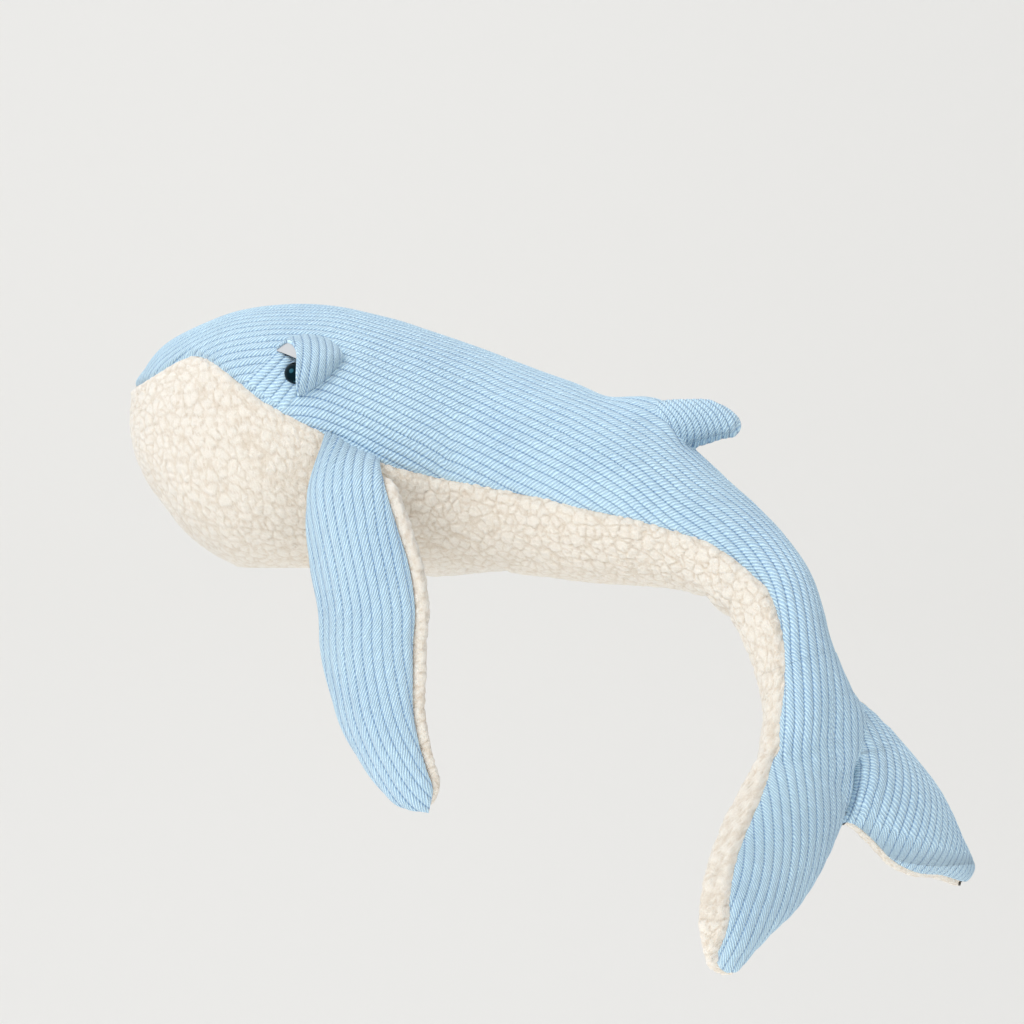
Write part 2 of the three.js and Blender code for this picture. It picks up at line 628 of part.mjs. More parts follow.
const limbNames = (name, face, lining) => ({
  root: `${name}_root`,
  face: `${name}_${face}`,
  lining: `${name}_${lining}`,
  stuffing: `${name}_stuffing`,
});
const sides = ["left", "right"];
const fins = sides.map((side) =>
  limbParts(
    limbNames(`${side}_fin`, "outer", "lining"),
    [knitThickness, pileThickness],
    finFrames(finPoses[side]),
    finTipStation,
    finRootStation,
    finRows,
    [trunkTool],
  ),
);
const backFin = limbParts(
  limbNames("back_fin", "left_side", "right_side"),
  [knitThickness, knitThickness],
  backFinFrames(),
  backFinTipStation,
  backFinRootStation,
  backFinRows,
  [trunkTool],
);
const flukes = sides.map((side) =>
  limbParts(
    limbNames(`${side}_fluke`, "top", "underside"),
    [knitThickness, pileThickness],
    flukeFrames(flukePoses[side]),
    flukeTipStation,
    flukeRootStation,
    flukeRows,
    [tailLowerTool, acrossTheFork(flukePoses[side].side)],
  ),
);

// The eyes: a glossy dome with a shank through the cover, held by a washer behind it. A knitted
// patch is let into the back panel round it, and a lid is sewn over its rear half.
const lathe = (profile) =>
  new THREE.LatheGeometry(profile.map(([r, z]) => new THREE.Vector2(r, z)), around);

// A lathed piece turned so that it points out of the skin at a place.
function placed(geometry, side, depth) {
  const turn = side * eyePlace.turn;
  const at = bodyPoint(eyePlace.station, turn, depth);
  const out = bodyPoint(eyePlace.station, turn, -1).sub(bodyPoint(eyePlace.station, turn)).normalize();
  const turned = new THREE.Quaternion().setFromUnitVectors(arrow(0, 1, 0), out);
  return geometry.applyQuaternion(turned).translate(at.x, at.y, at.z);
}

const eyeProfile = () => {
  const r = eyeDiameter / 2;
  const domed = stationList(0, 1, domeRows).map((f) => {
    const angle = (f * Math.PI) / 2;
    return [r * Math.cos(angle), eyeFlange + eyeHeight * Math.sin(angle)];
  });
  domed[domed.length - 1][0] = 0;
  const shank = shankDiameter / 2;
  return lathe([[0, -shankLength], [shank, -shankLength], [shank, 0], [r, 0], ...domed]);
};
const washerProfile = () => {
  const [hole, rim] = [shankDiameter / 2 + shankClearance, washerDiameter / 2];
  const boss = hole + bossThickness;
  const [low, mid, top] = [-2 * washerThickness, -washerThickness, 0];
  return lathe([[hole, low], [boss, low], [boss, mid], [rim, mid], [rim, top], [hole, top], [hole, low]]);
};
const holeTool = () => {
  const radius = shankDiameter / 2 + shankClearance;
  return new THREE.CylinderGeometry(radius, radius, 2 * shankLength, around);
};
const pocketTool = () => {
  const radius = washerDiameter / 2 + shankClearance;
  const depth = shankLength + shankClearance;
  const pocket = new THREE.CylinderGeometry(radius, radius, depth + overrun, around);
  return pocket.translate(0, (overrun - depth) / 2, 0);
};

// A point between four corners on the skin.
function between(corners, u, v, side) {
  const [a, b, c, d] = corners;
  const mix = (key) => (1 - u) * ((1 - v) * a[key] + v * b[key]) + u * ((1 - v) * d[key] + v * c[key]);
  return [mix("station"), side * mix("turn")];
}

// A curved pad between four corners on the skin, grown by a margin, between two heights off it.
function skinPad(corners, side, counts, heights, margin = 0) {
  const shell = new Shell();
  const [columns, rows] = counts;
  const grid = (height) =>
    stationList(-margin, 1 + margin, columns).map((u) =>
      stationList(-margin, 1 + margin, rows).map((v) => {
        const [at, turn] = between(corners, u, v, side);
        return shell.add(bodyPoint(at, turn, -height(u, v)));
      }),
    );
  const flip = side > 0 ? (line) => line : (line) => [...line].reverse();
  const [top, under] = heights.map(grid);
  for (let i = 0; i < columns; i += 1) {
    shell.band(flip(top[i]), flip(top[i + 1]));
    shell.band(flip(under[i]), flip(under[i + 1]), true);
    const [first, last] = side > 0 ? [0, rows] : [rows, 0];
    shell.quad(under[i][first], top[i][first], top[i + 1][first], under[i + 1][first]);
    shell.quad(top[i][last], under[i][last], under[i + 1][last], top[i + 1][last]);
  }
  shell.band(flip(under[0]), flip(top[0]));
  shell.band(flip(top[columns]), flip(under[columns]));
  return shell.geometry();
}

const head = {};
sides.forEach((name, i) => {
  const side = i ? -1 : 1;
  const flat = (height) => () => height;
  const cutHeights = [flat(overrun), flat(-knitThickness - overrun)];
  const tool = skinPad(eyePatchCorners, side, patchGrid, cutHeights, patchMarginShare);
  const patch = skinPad(eyePatchCorners, side, patchGrid, [flat(0), flat(-knitThickness)]);
  const rise = (u, v) => lidGap + lidLift * (1 - u) * Math.sin(Math.PI * v);
  const lid = [(u, v) => rise(u, v) + lidThickness, rise];
  const backPanel = `${name}_back_panel`;
  trunk[backPanel] = cut(trunk[backPanel], tool, placed(holeTool(), side, 0));
  head[`${name}_eye_patch`] = cut(patch, placed(holeTool(), side, 0));
  head[`${name}_eye`] = placed(eyeProfile(), side, -eyeGap);
  head[`${name}_eye_washer`] = placed(washerProfile(), side, knitThickness + washerGap);
  head[`${name}_eyelid`] = skinPad(lidCorners, side, lidGrid, lid);
  trunk.trunk_stuffing = cut(trunk.trunk_stuffing, placed(pocketTool(), side, knitThickness));
});

// Colours of the materials
const knitBlue = { color: 0x8fb6dc, roughness: 0.9, metalness: 0 };
const pileWhite = { color: 0xf2ede4, roughness: 1, metalness: 0 };
const fibreWhite = { color: 0xf7f7f5, roughness: 1, metalness: 0 };
const eyeBlack = { color: 0x07090b, roughness: 0.08, metalness: 0 };
const washerPlastic = { color: 0xe6e6e2, roughness: 0.5, metalness: 0 };
const finishes = [
  [/washer/, washerPlastic],
  [/_eye$/, eyeBlack],
  [/stuffing/, fibreWhite],
  [/belly|lining|underside/, pileWhite],
  [/./, knitBlue],
];

const whale = new THREE.Group();
for (const parts of [trunk, tailUpper, tailLower, bends, ...fins, backFin, ...flukes, head]) {
  for (const [name, geometry] of Object.entries(parts)) {
    const [, finish] = finishes.find(([pattern]) => pattern.test(name));
    const mesh = new THREE.Mesh(geometry, new THREE.MeshStandardMaterial(finish));
    mesh.name = name;
    whale.add(mesh);
  }
}

export default whale;
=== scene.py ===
"""A stuffed toy whale with a knitted back and a curly pile belly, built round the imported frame.

All lengths are metres. The body, the fins and the tail fin repeat the frame's forms, so each skin
lies where the frame's covers are. Each skin is a fine grid that is pushed out along its normals:
ribs for the knit, nubs for the pile, and a furrow along each seam.
"""

import math
from types import SimpleNamespace

import bpy
import numpy as np
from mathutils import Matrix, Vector


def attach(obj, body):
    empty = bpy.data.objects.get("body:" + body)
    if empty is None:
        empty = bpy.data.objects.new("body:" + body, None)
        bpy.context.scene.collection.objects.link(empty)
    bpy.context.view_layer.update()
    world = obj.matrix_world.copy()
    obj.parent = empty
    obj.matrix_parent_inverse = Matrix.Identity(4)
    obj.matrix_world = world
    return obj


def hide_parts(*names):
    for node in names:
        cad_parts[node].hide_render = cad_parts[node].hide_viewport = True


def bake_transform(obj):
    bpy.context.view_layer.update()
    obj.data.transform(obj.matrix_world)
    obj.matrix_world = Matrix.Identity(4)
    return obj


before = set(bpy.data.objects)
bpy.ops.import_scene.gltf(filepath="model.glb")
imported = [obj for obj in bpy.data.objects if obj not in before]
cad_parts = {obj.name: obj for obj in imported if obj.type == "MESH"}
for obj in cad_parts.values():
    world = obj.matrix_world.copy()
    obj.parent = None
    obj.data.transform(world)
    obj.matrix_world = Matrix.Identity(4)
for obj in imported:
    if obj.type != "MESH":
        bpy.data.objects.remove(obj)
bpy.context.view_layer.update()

# Sizes of the body
BODY_REACH = 0.530
TRUNK_HEIGHT = 0.210
TRUNK_WIDTH = 0.206
TAIL_DROP = 0.130
TAIL_FORWARD = 0.152
REST_DEPTH = 0.0005
NOSE_SHARE = -0.4

# Sizes of the fins, of their covers and of the eyes
FIN_LENGTH = 0.285
FIN_WIDTH = 0.086
FIN_THICKNESS = 0.034
BACK_FIN_LENGTH = 0.065
BACK_FIN_HEIGHT = 0.038
BACK_FIN_SWEEP = 0.049
BACK_FIN_THICKNESS = 0.034
FLUKE_LENGTH = 0.192
FLUKE_CHORD = 0.089
FLUKE_THICKNESS = 0.040
EYE_DIAMETER = 0.018
EYE_HEIGHT = 0.006
EYE_FLANGE = 0.0012
EYE_GAP = 0.001
EYE_ROUNDING = 0.0003
LID_THICKNESS = 0.003
LID_GAP = 0.0004

# Body stations: x, y, rise, drop, rests, tall, wide, lean, yaw, roll, seam
BODY_STATION_SHARES = [
    (0, 0, 0.69, 0, 0, 0, 0, 18, 0, 0, 90),
    (0.005, 0, 0.693, 0, 0, 0.125, 0.145, 18, 0, 0, 90),
    (0.012, 0, 0.678, 0, 0, 0.26, 0.3, 14.5, 0, 0, 80),
    (0.024, 0, 0.648, 0, 0, 0.407, 0.466, 13, 0, 0, 69),
    (0.045, 0, 0.614, 0, 0, 0.556, 0.62, 12.5, 0, 0, 58),
    (0.079, 0, 0.585, 0, 0, 0.712, 0.767, 11.5, 0, 0, 52),
    (0.128, 0, 0.539, 0, 0, 0.893, 0.913, 9.5, 0, 0, 62),
    (0.2, 0, 0, 0, 1, 1.008, 1, 7.5, 0, 0, 76),
    (0.277, 0, 0, 0, 1, 0.998, 1.02, 5.5, 0, 0, 87),
    (0.349, 0, 0, 0, 1, 0.958, 1, 6.5, 1, 0, 94),
    (0.49, 0.02, 0, 0, 1, 0.851, 0.922, 10, 8, 0, 99),
    (0.558, 0.09, 0, 0, 1, 0.781, 0.854, 11.5, 17, 0, 100),
    (0.663, 0.263, 0.314, 0, 0, 0.69, 0.738, 14.5, 25, 0, 101),
    (0.724, 0.382, 0.271, 0, 0, 0.634, 0.68, 15.5, 27, 0, 102),
    (0.772, 0.46, 0.228, 0, 0, 0.561, 0.621, 18.5, 26, 0, 102),
    (0.834, 0.579, 0.151, 0, 0, 0.443, 0.495, 25, 24, 3, 97),
    (0.883, 0.684, 0.071, 0, 0, 0.373, 0.417, 35.5, 25, 8, 91),
    (0.922, 0.776, 0, 0.046, 0, 0.35, 0.379, 47.5, 25, 15, 82),
    (0.943, 0.849, 0, 0.177, 0, 0.333, 0.35, 60, 22, 20, 76),
    (0.957, 0.914, 0, 0.342, 0, 0.311, 0.33, 68, 18, 26, 73),
    (0.968, 0.947, 0, 0.484, 0, 0.276, 0.301, 70, 12, 33, 75),
    (0.988, 0.987, 0, 0.748, 0, 0.238, 0.369, 74, 6, 50, 79),
    (1, 1, 0, 1, 0, 0.2, 0.49, 73, 3, 60, 86),
    (1.018, 1, 0, 1.2, 0, 0.15, 0.35, 71, 0, 60, 90),
    (1.026, 1, 0, 1.31, 0, 0, 0, 70, 0, 60, 90),
]
REST_END_STATION = 11.1
TRUNK_END_STATION = 14.5
UPPER_START_STATION = 15.7
SPLIT_STATION = 16.9
UPPER_END_STATION = 18
LOWER_START_STATION = 19.4
BODY_END_STATION = 20.3
FORK_STATION = 22
FLATNESS_POWER = 2.5

# Side fin stations: along, across, wide, thick, slant
FIN_STATION_SHARES = [
    (0, 0, 0.64, 0.62, 18),
    (0.072, 0.02, 0.66, 0.8, 6),
    (0.165, 0.06, 0.77, 0.95, 1),
    (0.266, 0.12, 0.92, 1, 0),
    (0.36, 0.19, 1, 1, -1),
    (0.47, 0.25, 0.98, 0.98, -1),
    (0.564, 0.25, 0.935, 0.93, -2),
    (0.656, 0.28, 0.86, 0.87, -4),
    (0.744, 0.33, 0.756, 0.8, -7),
    (0.827, 0.43, 0.642, 0.72, -12),
    (0.904, 0.56, 0.514, 0.61, -19),
    (0.957, 0.68, 0.37, 0.46, -25),
    (1, 0.78, 0, 0, -30),
]
FIN_STATION = 8.85
FIN_SUNK_SHARE = 0.1
SWEPT_STATION = 8
FIN_POSES = {
    "left": (1, [66, 42, 18, 4, 0, 0, 0, 0, 0, 0, 0, 0, 0], 0, 16),
    "right": (-1, [62, 40, 34, 44, 66, 84, 90, 90, 90, 90, 90, 90, 90], 52, 0),
}

# Back fin stations: along, rise, wide, thick, slant
BACK_FIN_STATION_SHARES = [
    (-0.22, -0.24, 0.84, 1, 0),
    (-0.11, 0.02, 0.78, 0.98, 0),
    (0.15, 0.29, 0.68, 0.92, -4),
    (0.45, 0.58, 0.55, 0.8, -10),
    (0.72, 0.81, 0.45, 0.64, -18),
    (0.89, 0.93, 0.25, 0.42, -23),
    (1, 1, 0, 0, -25),
]
BACK_FIN_STATION = 13.95
BACK_FIN_SEAM_TURN = 74

# The back fin's ribs: how much they bow, the height where they bow least, and how much closer together
# they are than elsewhere
BACK_FIN_BOW = 30
BACK_FIN_BOW_HEIGHT = 0.104
BACK_FIN_RIB_STRETCH = 1.4

# Tail lobe stations: back, spread, wide, thick, slant
FLUKE_STATION_SHARES = [
    (0.03, 0.05, 0.7, 0.7, 40),
    (0.128, 0.12, 0.95, 0.92, 45),
    (0.204, 0.219, 0.985, 1, 51),
    (0.29, 0.313, 1, 1, 57),
    (0.389, 0.41, 0.99, 0.96, 61),
    (0.485, 0.504, 0.9, 0.88, 63),
    (0.56, 0.59, 0.718, 0.76, 64),
    (0.62, 0.654, 0.508, 0.6, 61),
    (0.664, 0.702, 0.303, 0.42, 56),
    (0.692, 0.719, 0, 0, 50),
]

# Shares of the half widths of the left lobe (1) and the right one (-1), towards their outer and their
# inner edges, station by station
LOBE_EDGE_SHARES = {
    1: [
        (1, 1), (1, 1), (1, 1), (1.04, 1), (1.07, 0.95), (1.07, 0.88), (1.04, 0.78), (1, 0.74),
        (1, 0.85), (1, 1),
    ],
    -1: [
        (1.6, 1), (1.34, 1), (1.15, 1), (1.05, 1.06), (0.97, 1.14), (0.82, 1.1), (0.6, 1), (0.8, 1),
        (1, 1), (1, 1),
    ],
}

# How many degrees the right lobe is turned in the tail's plane, and curled away from the back
RIGHT_FLUKE_TURN = 2
RIGHT_FLUKE_CURL = 52

# The cloth that spans the notch between the lobes: half its width, its middle beyond the middle of
# the tail fin, half its length and half its thickness
BRIDGE_SIZES = (0.03, 0.015, 0.044, 0.016)

# Two places between the stock and a lobe: distances beyond the middle of the tail
# # fin and out from its middle line
FLUKE_BEND_START = (0.031, 0.031)
FLUKE_BEND_END = (0.058, 0.062)

# Places on the head: station and turn from the middle of the back
EYE_PLACE = (7.62, 64.5)
PATCH_CORNERS = [(7.18, 51), (6.6, 68.5), (7.53, 81), (8.06, 64)]
PATCH_LENGTHS = (0.042, 0.034)
PATCH_RISE = 0.0012

# The eyelid's sewn edge, from its front corner over the top and the rear tip to its lower corner,
# and its free edge between the same corners, with how far that stands off the skin. The tab is the
# turned-in corner of its lining, along the first share of the free edge.
LID_SEWN_EDGE = [
    (7.16, 52.2),
    (7.29, 48.5),
    (7.55, 45.7),
    (7.92, 45),
    (8.29, 47.8),
    (8.57, 53.9),
    (8.38, 62.1),
    (8.065, 69.8),
    (7.735, 74.5),
]
LID_FREE_EDGE = [
    (7.16, 52.2, 0),
    (7.36, 50.4, 0.004),
    (7.535, 53.8, 0.008),
    (7.64, 58.9, 0.011),
    (7.68, 65.8, 0.012),
    (7.705, 70.9, 0.009),
    (7.735, 74.5, 0),
]
LID_TAB_START = (7.165, 53.2, 0.0004)
LID_TAB_END = (7.66, 60.8, 0.0095)
LID_TAB_SHARE = 0.56
LID_TAB_LIFT = 0.0012
LID_ROLL = 0.0012

# The eyelid's knit: the station and turn of its middle, the lengths of cloth for a station and for a
# degree, and how much its ribs bow
LID_MIDDLE = (7.69, 64)
LID_CLOTH_LENGTHS = (0.049, 0.0023)
LID_BOW = 2.7e-5

# Where the side fins' sewn edge starts and ends along the belly seam, as body stations, how far up the
# fin that changes its shape, how many degrees above the seam the edge lies and how deep, and how many
# degrees the lining's edge bows down
FIN_ROOT_STATIONS = (8.36, 9.3)
FIN_ROOT_REACH = 0.055
FIN_ROOT_TURN = 1.9
FIN_ROOT_DEPTH = 0.0034
LINING_ROOT_BOW = 13

# Where the side fins' lining meets the knit and how far it laps over it, both in degrees round the
# fin, how far the lining stands out more than other pile, and how much the knit's root is rolled
FIN_LINING_TURN = 63
LINING_LAP_TURN = 7
LINING_SWELL = 0.0024
ROOT_ROLL = 0.0024

# The ridge of the back that runs up to the back fin
RIDGE_STATIONS = (11.95, 13.35, 13.9, 14.4)
RIDGE_HEIGHT = 0.0155
RIDGE_WIDTH = 0.021
BACK_FIN_LIFT = 0.0022

# How much the knit of the back is stretched over the belly, by body station, and between which
# stations its ribs are drawn up towards the middle of the back
BACK_STRETCH_SHARES = [
    (8, 0), (9, 0.026), (9.5, 0.05), (9.85, 0.068), (10.15, 0.08), (10.75, 0.048), (11.25, 0.029), (12.2, 0)
]
DRAWN_STATIONS = (13.5, 17)
DRAWN_RIBS = 3

# The crease between the tail's lobes: distances beyond the middle of the tail fin and to its right,
# how wide it and the slit in it are, and the shares of the thickness that they take
CREASE = [(-0.026, 0.046), (0, 0.03), (0.026, 0.0165), (0.036, 0.013), (0.046, 0.008), (0.058, 0)]
CREASE_WIDTH = 0.009
CREASE_SHARE = 0.16
UNDER_CREASE_SHARE = 0.15
SLIT_WIDTH = 0.0024
SLIT_SHARE = 0.62
LEFT_LOBE_HEM = 0.015

# The line that each lobe's ribs run beside: distances beyond the middle of the tail fin and out along
# the knit from the tail's middle line
LEFT_RIB_LINE = [
    (-0.2, 0.037), (-0.12, 0.037), (-0.04, 0.037), (-0.006, 0.04), (0.02, 0.046), (0.053, 0.0565),
    (0.075, 0.066), (0.097, 0.08), (0.112, 0.0925), (0.127, 0.106), (0.16, 0.137),
]
RIGHT_RIB_LINE = [
    (-0.2, 0.049), (-0.12, 0.049), (-0.02, 0.052), (0.01, 0.0525), (0.025, 0.05), (0.046, 0.041),
    (0.08, 0.02), (0.12, -0.006), (0.16, -0.032),
]

# The knit and the pile
RIB_PITCH = 0.0074
RIB_CROWN = 0.0007
STRAND_PITCH = 0.0029

# How many times further along the rib than across it the strands run, by piece, the station where the
# body's slant starts to change to the lobes', and the most that the cloth's skew changes a slant
BODY_SLANT = 0.75
LOBE_SLANT = 1.2
LOBE_SLANT_START = 17.5
FIN_SLANT = -1.45
FIN_STRAND_SHARE = 0.8
BACK_FIN_SLANT = 0.2
LID_SLANT = 1.1
PATCH_SLANT = 0.7
SKEW_LIMIT = 3

# The seams, and the pile's nubs, curls and lap over the knit
SEAM_DEPTH = 0.0019
SEAM_REACH = 0.0032
PILE_OVERLAP = 0.0036
PILE_SWELL = 0.0018
NUB_SIZE = 0.0085
NUB_HEIGHT = 0.0017
CURL_SIZE = 0.0034
CURL_HEIGHT = 0.0009
PILE_DIVE = 0.0042

# The unevenness of the stuffing
LUMP_SIZE = 0.07
LUMP_HEIGHT = 0.0013

# Fineness of the grids
ROW_STEP = 0.0018
PILE_STEP = 0.0014
BACK_COLUMNS = 232
BELLY_COLUMNS = 290
LIMB_COLUMNS = 64
LINING_COLUMNS = 76
FORK_COLUMNS = 90
FORK_FINE = 100
OVERLAP_DEPTH = 0.0004

# The stuffing: how the covers swell when cloth with pressure behind it is simulated on coarse grids
STUFFED_STEP = 0.0117
STUFFED_COLUMNS = 26
STUFFED_LIMB_STEP = 0.7 * STUFFED_STEP
STUFFED_LIMB_COLUMNS = 8
STUFFED_FORK_ROWS = 4
STUFFED_FORK_COLUMNS = 10
STUFFED_INSET = 0.0032
STUFFED_LIMB_INSET = 0.0008
STUFFING_REACH = 0.0045
STUFFING_PRESSURE = 400.0
STUFFING_FRAMES = 14
CLOTH_MASS = 0.01
CLOTH_SLACK = 0.005

# Where the covers are held by what is sewn to them: station, turn, and how far that reaches in both
HELD_PLACES = [(7.6, 63, 1.5, 26), (8.85, 88, 1.1, 24), (13.9, 0, 1.4, 40)]

# The backdrop and the camera
FLOOR_LEVEL = -1.3
FLOOR_FRONT = -3.5
WALL_PLACE = 2.4
WALL_TOP = 4.0
WALL_RADIUS = 1.2
BACKDROP_HALF_WIDTH = 6.0
CAMERA_PLACE = (0.0896, -2.2, 0.044)
CAMERA_LENS = 96.68
SENSOR_WIDTH = 36


def row_at(table, at):
    """Rows between the stations of a table, by a smooth curve through all of them."""
    at = np.asarray(at, float)
    first = np.clip(np.floor(at).astype(int), 0, len(table) - 2)
    f = (at - first)[..., None]
    a, b, c, d = (table[np.clip(first + k, 0, len(table) - 1)] for k in (-1, 0, 1, 2))
    bend = 2 * a - 5 * b + 4 * c - d
    return b + 0.5 * f * (c - a + f * (bend + f * (3 * (b - c) + d - a)))


def body_stations():
    """The body's table in metres: x, y, z, tall, wide, lean, yaw, roll, seam."""
    x, y, rise, drop, rests, tall, wide, lean, yaw, roll, seam = np.array(BODY_STATION_SHARES).T
    half_tall = tall * TRUNK_HEIGHT / 2
    resting = half_tall * np.cos(np.radians(lean)) - REST_DEPTH
    z = np.where(rests > 0, resting, rise * TRUNK_HEIGHT - drop * TAIL_DROP)
    x = (NOSE_SHARE + x) * BODY_REACH
    columns = [x, -y * TAIL_FORWARD, z, half_tall, wide * TRUNK_WIDTH / 2, lean, yaw, roll, seam]
    return np.stack(columns, -1)


BODY = body_stations()


def mixed(*terms):
    """A sum of directions, each times a number."""
    return sum(direction * np.asarray(number)[..., None] for direction, number in terms)


def unit(vector):
    """Vectors scaled to a length of 1."""
    return vector / np.maximum(np.linalg.norm(vector, axis=-1, keepdims=True), 1e-12)


def smooth(value, low, high):
    """0 below low, 1 above high and a smooth step between them."""
    t = np.clip((value - low) / (high - low), 0, 1)
    return t * t * (3 - 2 * t)


def running(steps, axis=0):
    """The length up to each point, from the steps between the points."""
    start = np.zeros_like(np.take(steps, [0], axis))
    return np.concatenate([start, np.cumsum(steps, axis)], axis)


def body_frame(at):
    """The middle of the body at each station, its axes there, its half sizes and its seam's turn."""
    x, y, z, tall, wide, lean, yaw, roll, seam = np.moveaxis(row_at(BODY, at), -1, 0)
    lean, yaw, roll = np.radians(lean), np.radians(yaw), np.radians(roll)
    zero = np.zeros_like(x)
    up = np.stack([np.sin(lean), zero, np.cos(lean)], -1)
    level = np.stack([np.cos(lean), zero, -np.sin(lean)], -1)
    front = np.stack([zero, zero - 1, zero], -1)
    along = mixed((level, np.cos(yaw)), (front, np.sin(yaw)))
    left = mixed((front, np.cos(yaw)), (level, -np.sin(yaw)))
    back = mixed((up, np.cos(roll)), (left, np.sin(roll)))
    side = mixed((left, np.cos(roll)), (up, -np.sin(roll)))
    middle = np.stack([x, y, z], -1)
    axes = {"along": along, "back": back, "side": side}
    return SimpleNamespace(middle=middle, tall=tall, wide=wide, seam=seam, **axes)


def section(turn):
    """Shares of the two half sizes at a turn: an ellipse over the back, fuller under the belly."""
    c, s = np.cos(np.radians(turn)), np.sin(np.radians(turn))
    power = np.where(c < 0, 2 / FLATNESS_POWER, 1)
    return np.sign(c) * np.abs(c) ** power, np.sign(s) * np.abs(s) ** power


def body_skin(at, turn, outset=0):
    """Points of the body's skin, at stations and at turns in degrees from the middle of the back."""
    f = body_frame(at)
    c, s = section(turn)
    return f.middle + mixed((f.back, c * (f.tall + outset)), (f.side, s * (f.wide + outset)))


def skin_normal(at, turn):
    """The skin's normal, out of the body."""
    near = body_skin(at + 0.02, turn) - body_skin(at - 0.02, turn)
    round_ = body_skin(at, turn + 1) - body_skin(at, turn - 1)
    return unit(np.cross(round_, near))


def even_stations(skin, first, last, step, turns=(0, 60, 120, 180, 240, 300)):
    """Stations evenly spaced along a form's skin, and the length of skin up to each of them."""
    fine = np.linspace(first, last, 3000)
    points = skin(fine[:, None], np.array(turns, float)[None, :])
    steps = np.linalg.norm(np.diff(points, axis=0), axis=-1).mean(1)
    length = running(steps)
    count = int(math.ceil(length[-1] / step))
    even = np.linspace(0, length[-1], count + 1)
    return np.interp(even, length, fine), even


def even_turns(skin, at, first, last, count):
    """Turns from first to last that are evenly spaced along the skin, and its length, row by row."""
    share = np.linspace(0, 1, 361)
    turns = first[:, None] + (last - first)[:, None] * share
    points = skin(at[:, None], turns)
    steps = np.linalg.norm(np.diff(points, axis=1), axis=-1)
    length = running(steps, 1)
    even = np.linspace(0, 1, count + 1)
    rows = [np.interp(even * l[-1], l, t) for l, t in zip(length, turns)]
    return np.array(rows), length[:, -1]


def grid_normals(points, closed=False):
    """Outward unit normals of a grid of points. A row that is one point takes the next row's."""
    down = np.gradient(points, axis=0)
    if closed:
        across = np.roll(points, -1, 1) - np.roll(points, 1, 1)
    else:
        across = np.gradient(points, axis=1)
    normal = np.cross(across, down)
    size = np.linalg.norm(normal, axis=-1).max(1)
    normal = unit(normal)
    for row, beside in ((0, 1), (-1, -2)):
        if size[row] < 1e-3 * size.max():
            normal[row] = unit(normal[beside].mean(0))
    return normal


def cell_random(cells, salt):
    """A fixed number from 0 to 1 for each whole-numbered cell."""
    x, y, z = (cells[..., k].astype(np.uint32) for k in range(3))
    h = x * np.uint32(73856093) ^ y * np.uint32(19349663) ^ z * np.uint32(83492791)
    h ^= np.uint32(salt * 2654435 + 97)
    h = (h ^ (h >> np.uint32(15))) * np.uint32(2246822519)
    h = (h ^ (h >> np.uint32(13))) * np.uint32(3266489917)
    return (h ^ (h >> np.uint32(16))).astype(float) / 4294967295


def swell(points, size, salt):
    """Smooth noise from -1 to 1 in space, with features of that size."""
    place = points / size
    cell = np.floor(place).astype(np.int64)
    f = place - cell
    f = f * f * (3 - 2 * f)
    total = 0
    for corner in np.ndindex(2, 2, 2):
        weight = np.prod(np.where(np.array(corner) > 0, f, 1 - f), axis=-1)
        total = total + weight * cell_random(cell + np.array(corner), salt)
    return 2 * total - 1


def nubs(points, size, salt):
    """How far each point is from the two nearest of scattered centres, in shares of size."""
    place = points / size
    cell = np.floor(place).astype(np.int64)
    nearest = np.full(points.shape[:-1], 9.0)
    second = np.full(points.shape[:-1], 9.0)
    for step in np.ndindex(3, 3, 3):
        at = cell + np.array(step) - 1
        centre = np.stack([cell_random(at, salt + k) for k in range(3)], -1) * 0.9 + 0.05 + at
        distance = np.linalg.norm(place - centre, axis=-1)
        second = np.minimum(second, np.maximum(nearest, distance))
        nearest = np.minimum(nearest, distance)
    return nearest, second


def lumps(points):
    """The unevenness of the stuffing."""
    return LUMP_HEIGHT * swell(points, LUMP_SIZE, 5) + 0.35 * LUMP_HEIGHT * swell(points, LUMP_SIZE / 3, 6)


def seam_dip(distance):
    """How far a cover is drawn in near its sewn edge."""
    near = np.exp(-((distance / SEAM_REACH) ** 2))
    return -SEAM_DEPTH * (0.7 * near + 0.3 * np.exp(-distance / (3 * SEAM_REACH)))


def ribs(across):
    """The rounded tops of the knit's ribs."""
    phase = across / RIB_PITCH
    return RIB_CROWN * (1 - (2 * (phase - np.round(phase))) ** 2)


def knit_height(points, across, to_seam):
    """How far the knit stands out: the stuffing's lumps, its ribs and the dip at the seam."""
    fade = smooth(to_seam, 0, 0.003)
    return lumps(points) + ribs(across) * fade + seam_dip(to_seam)


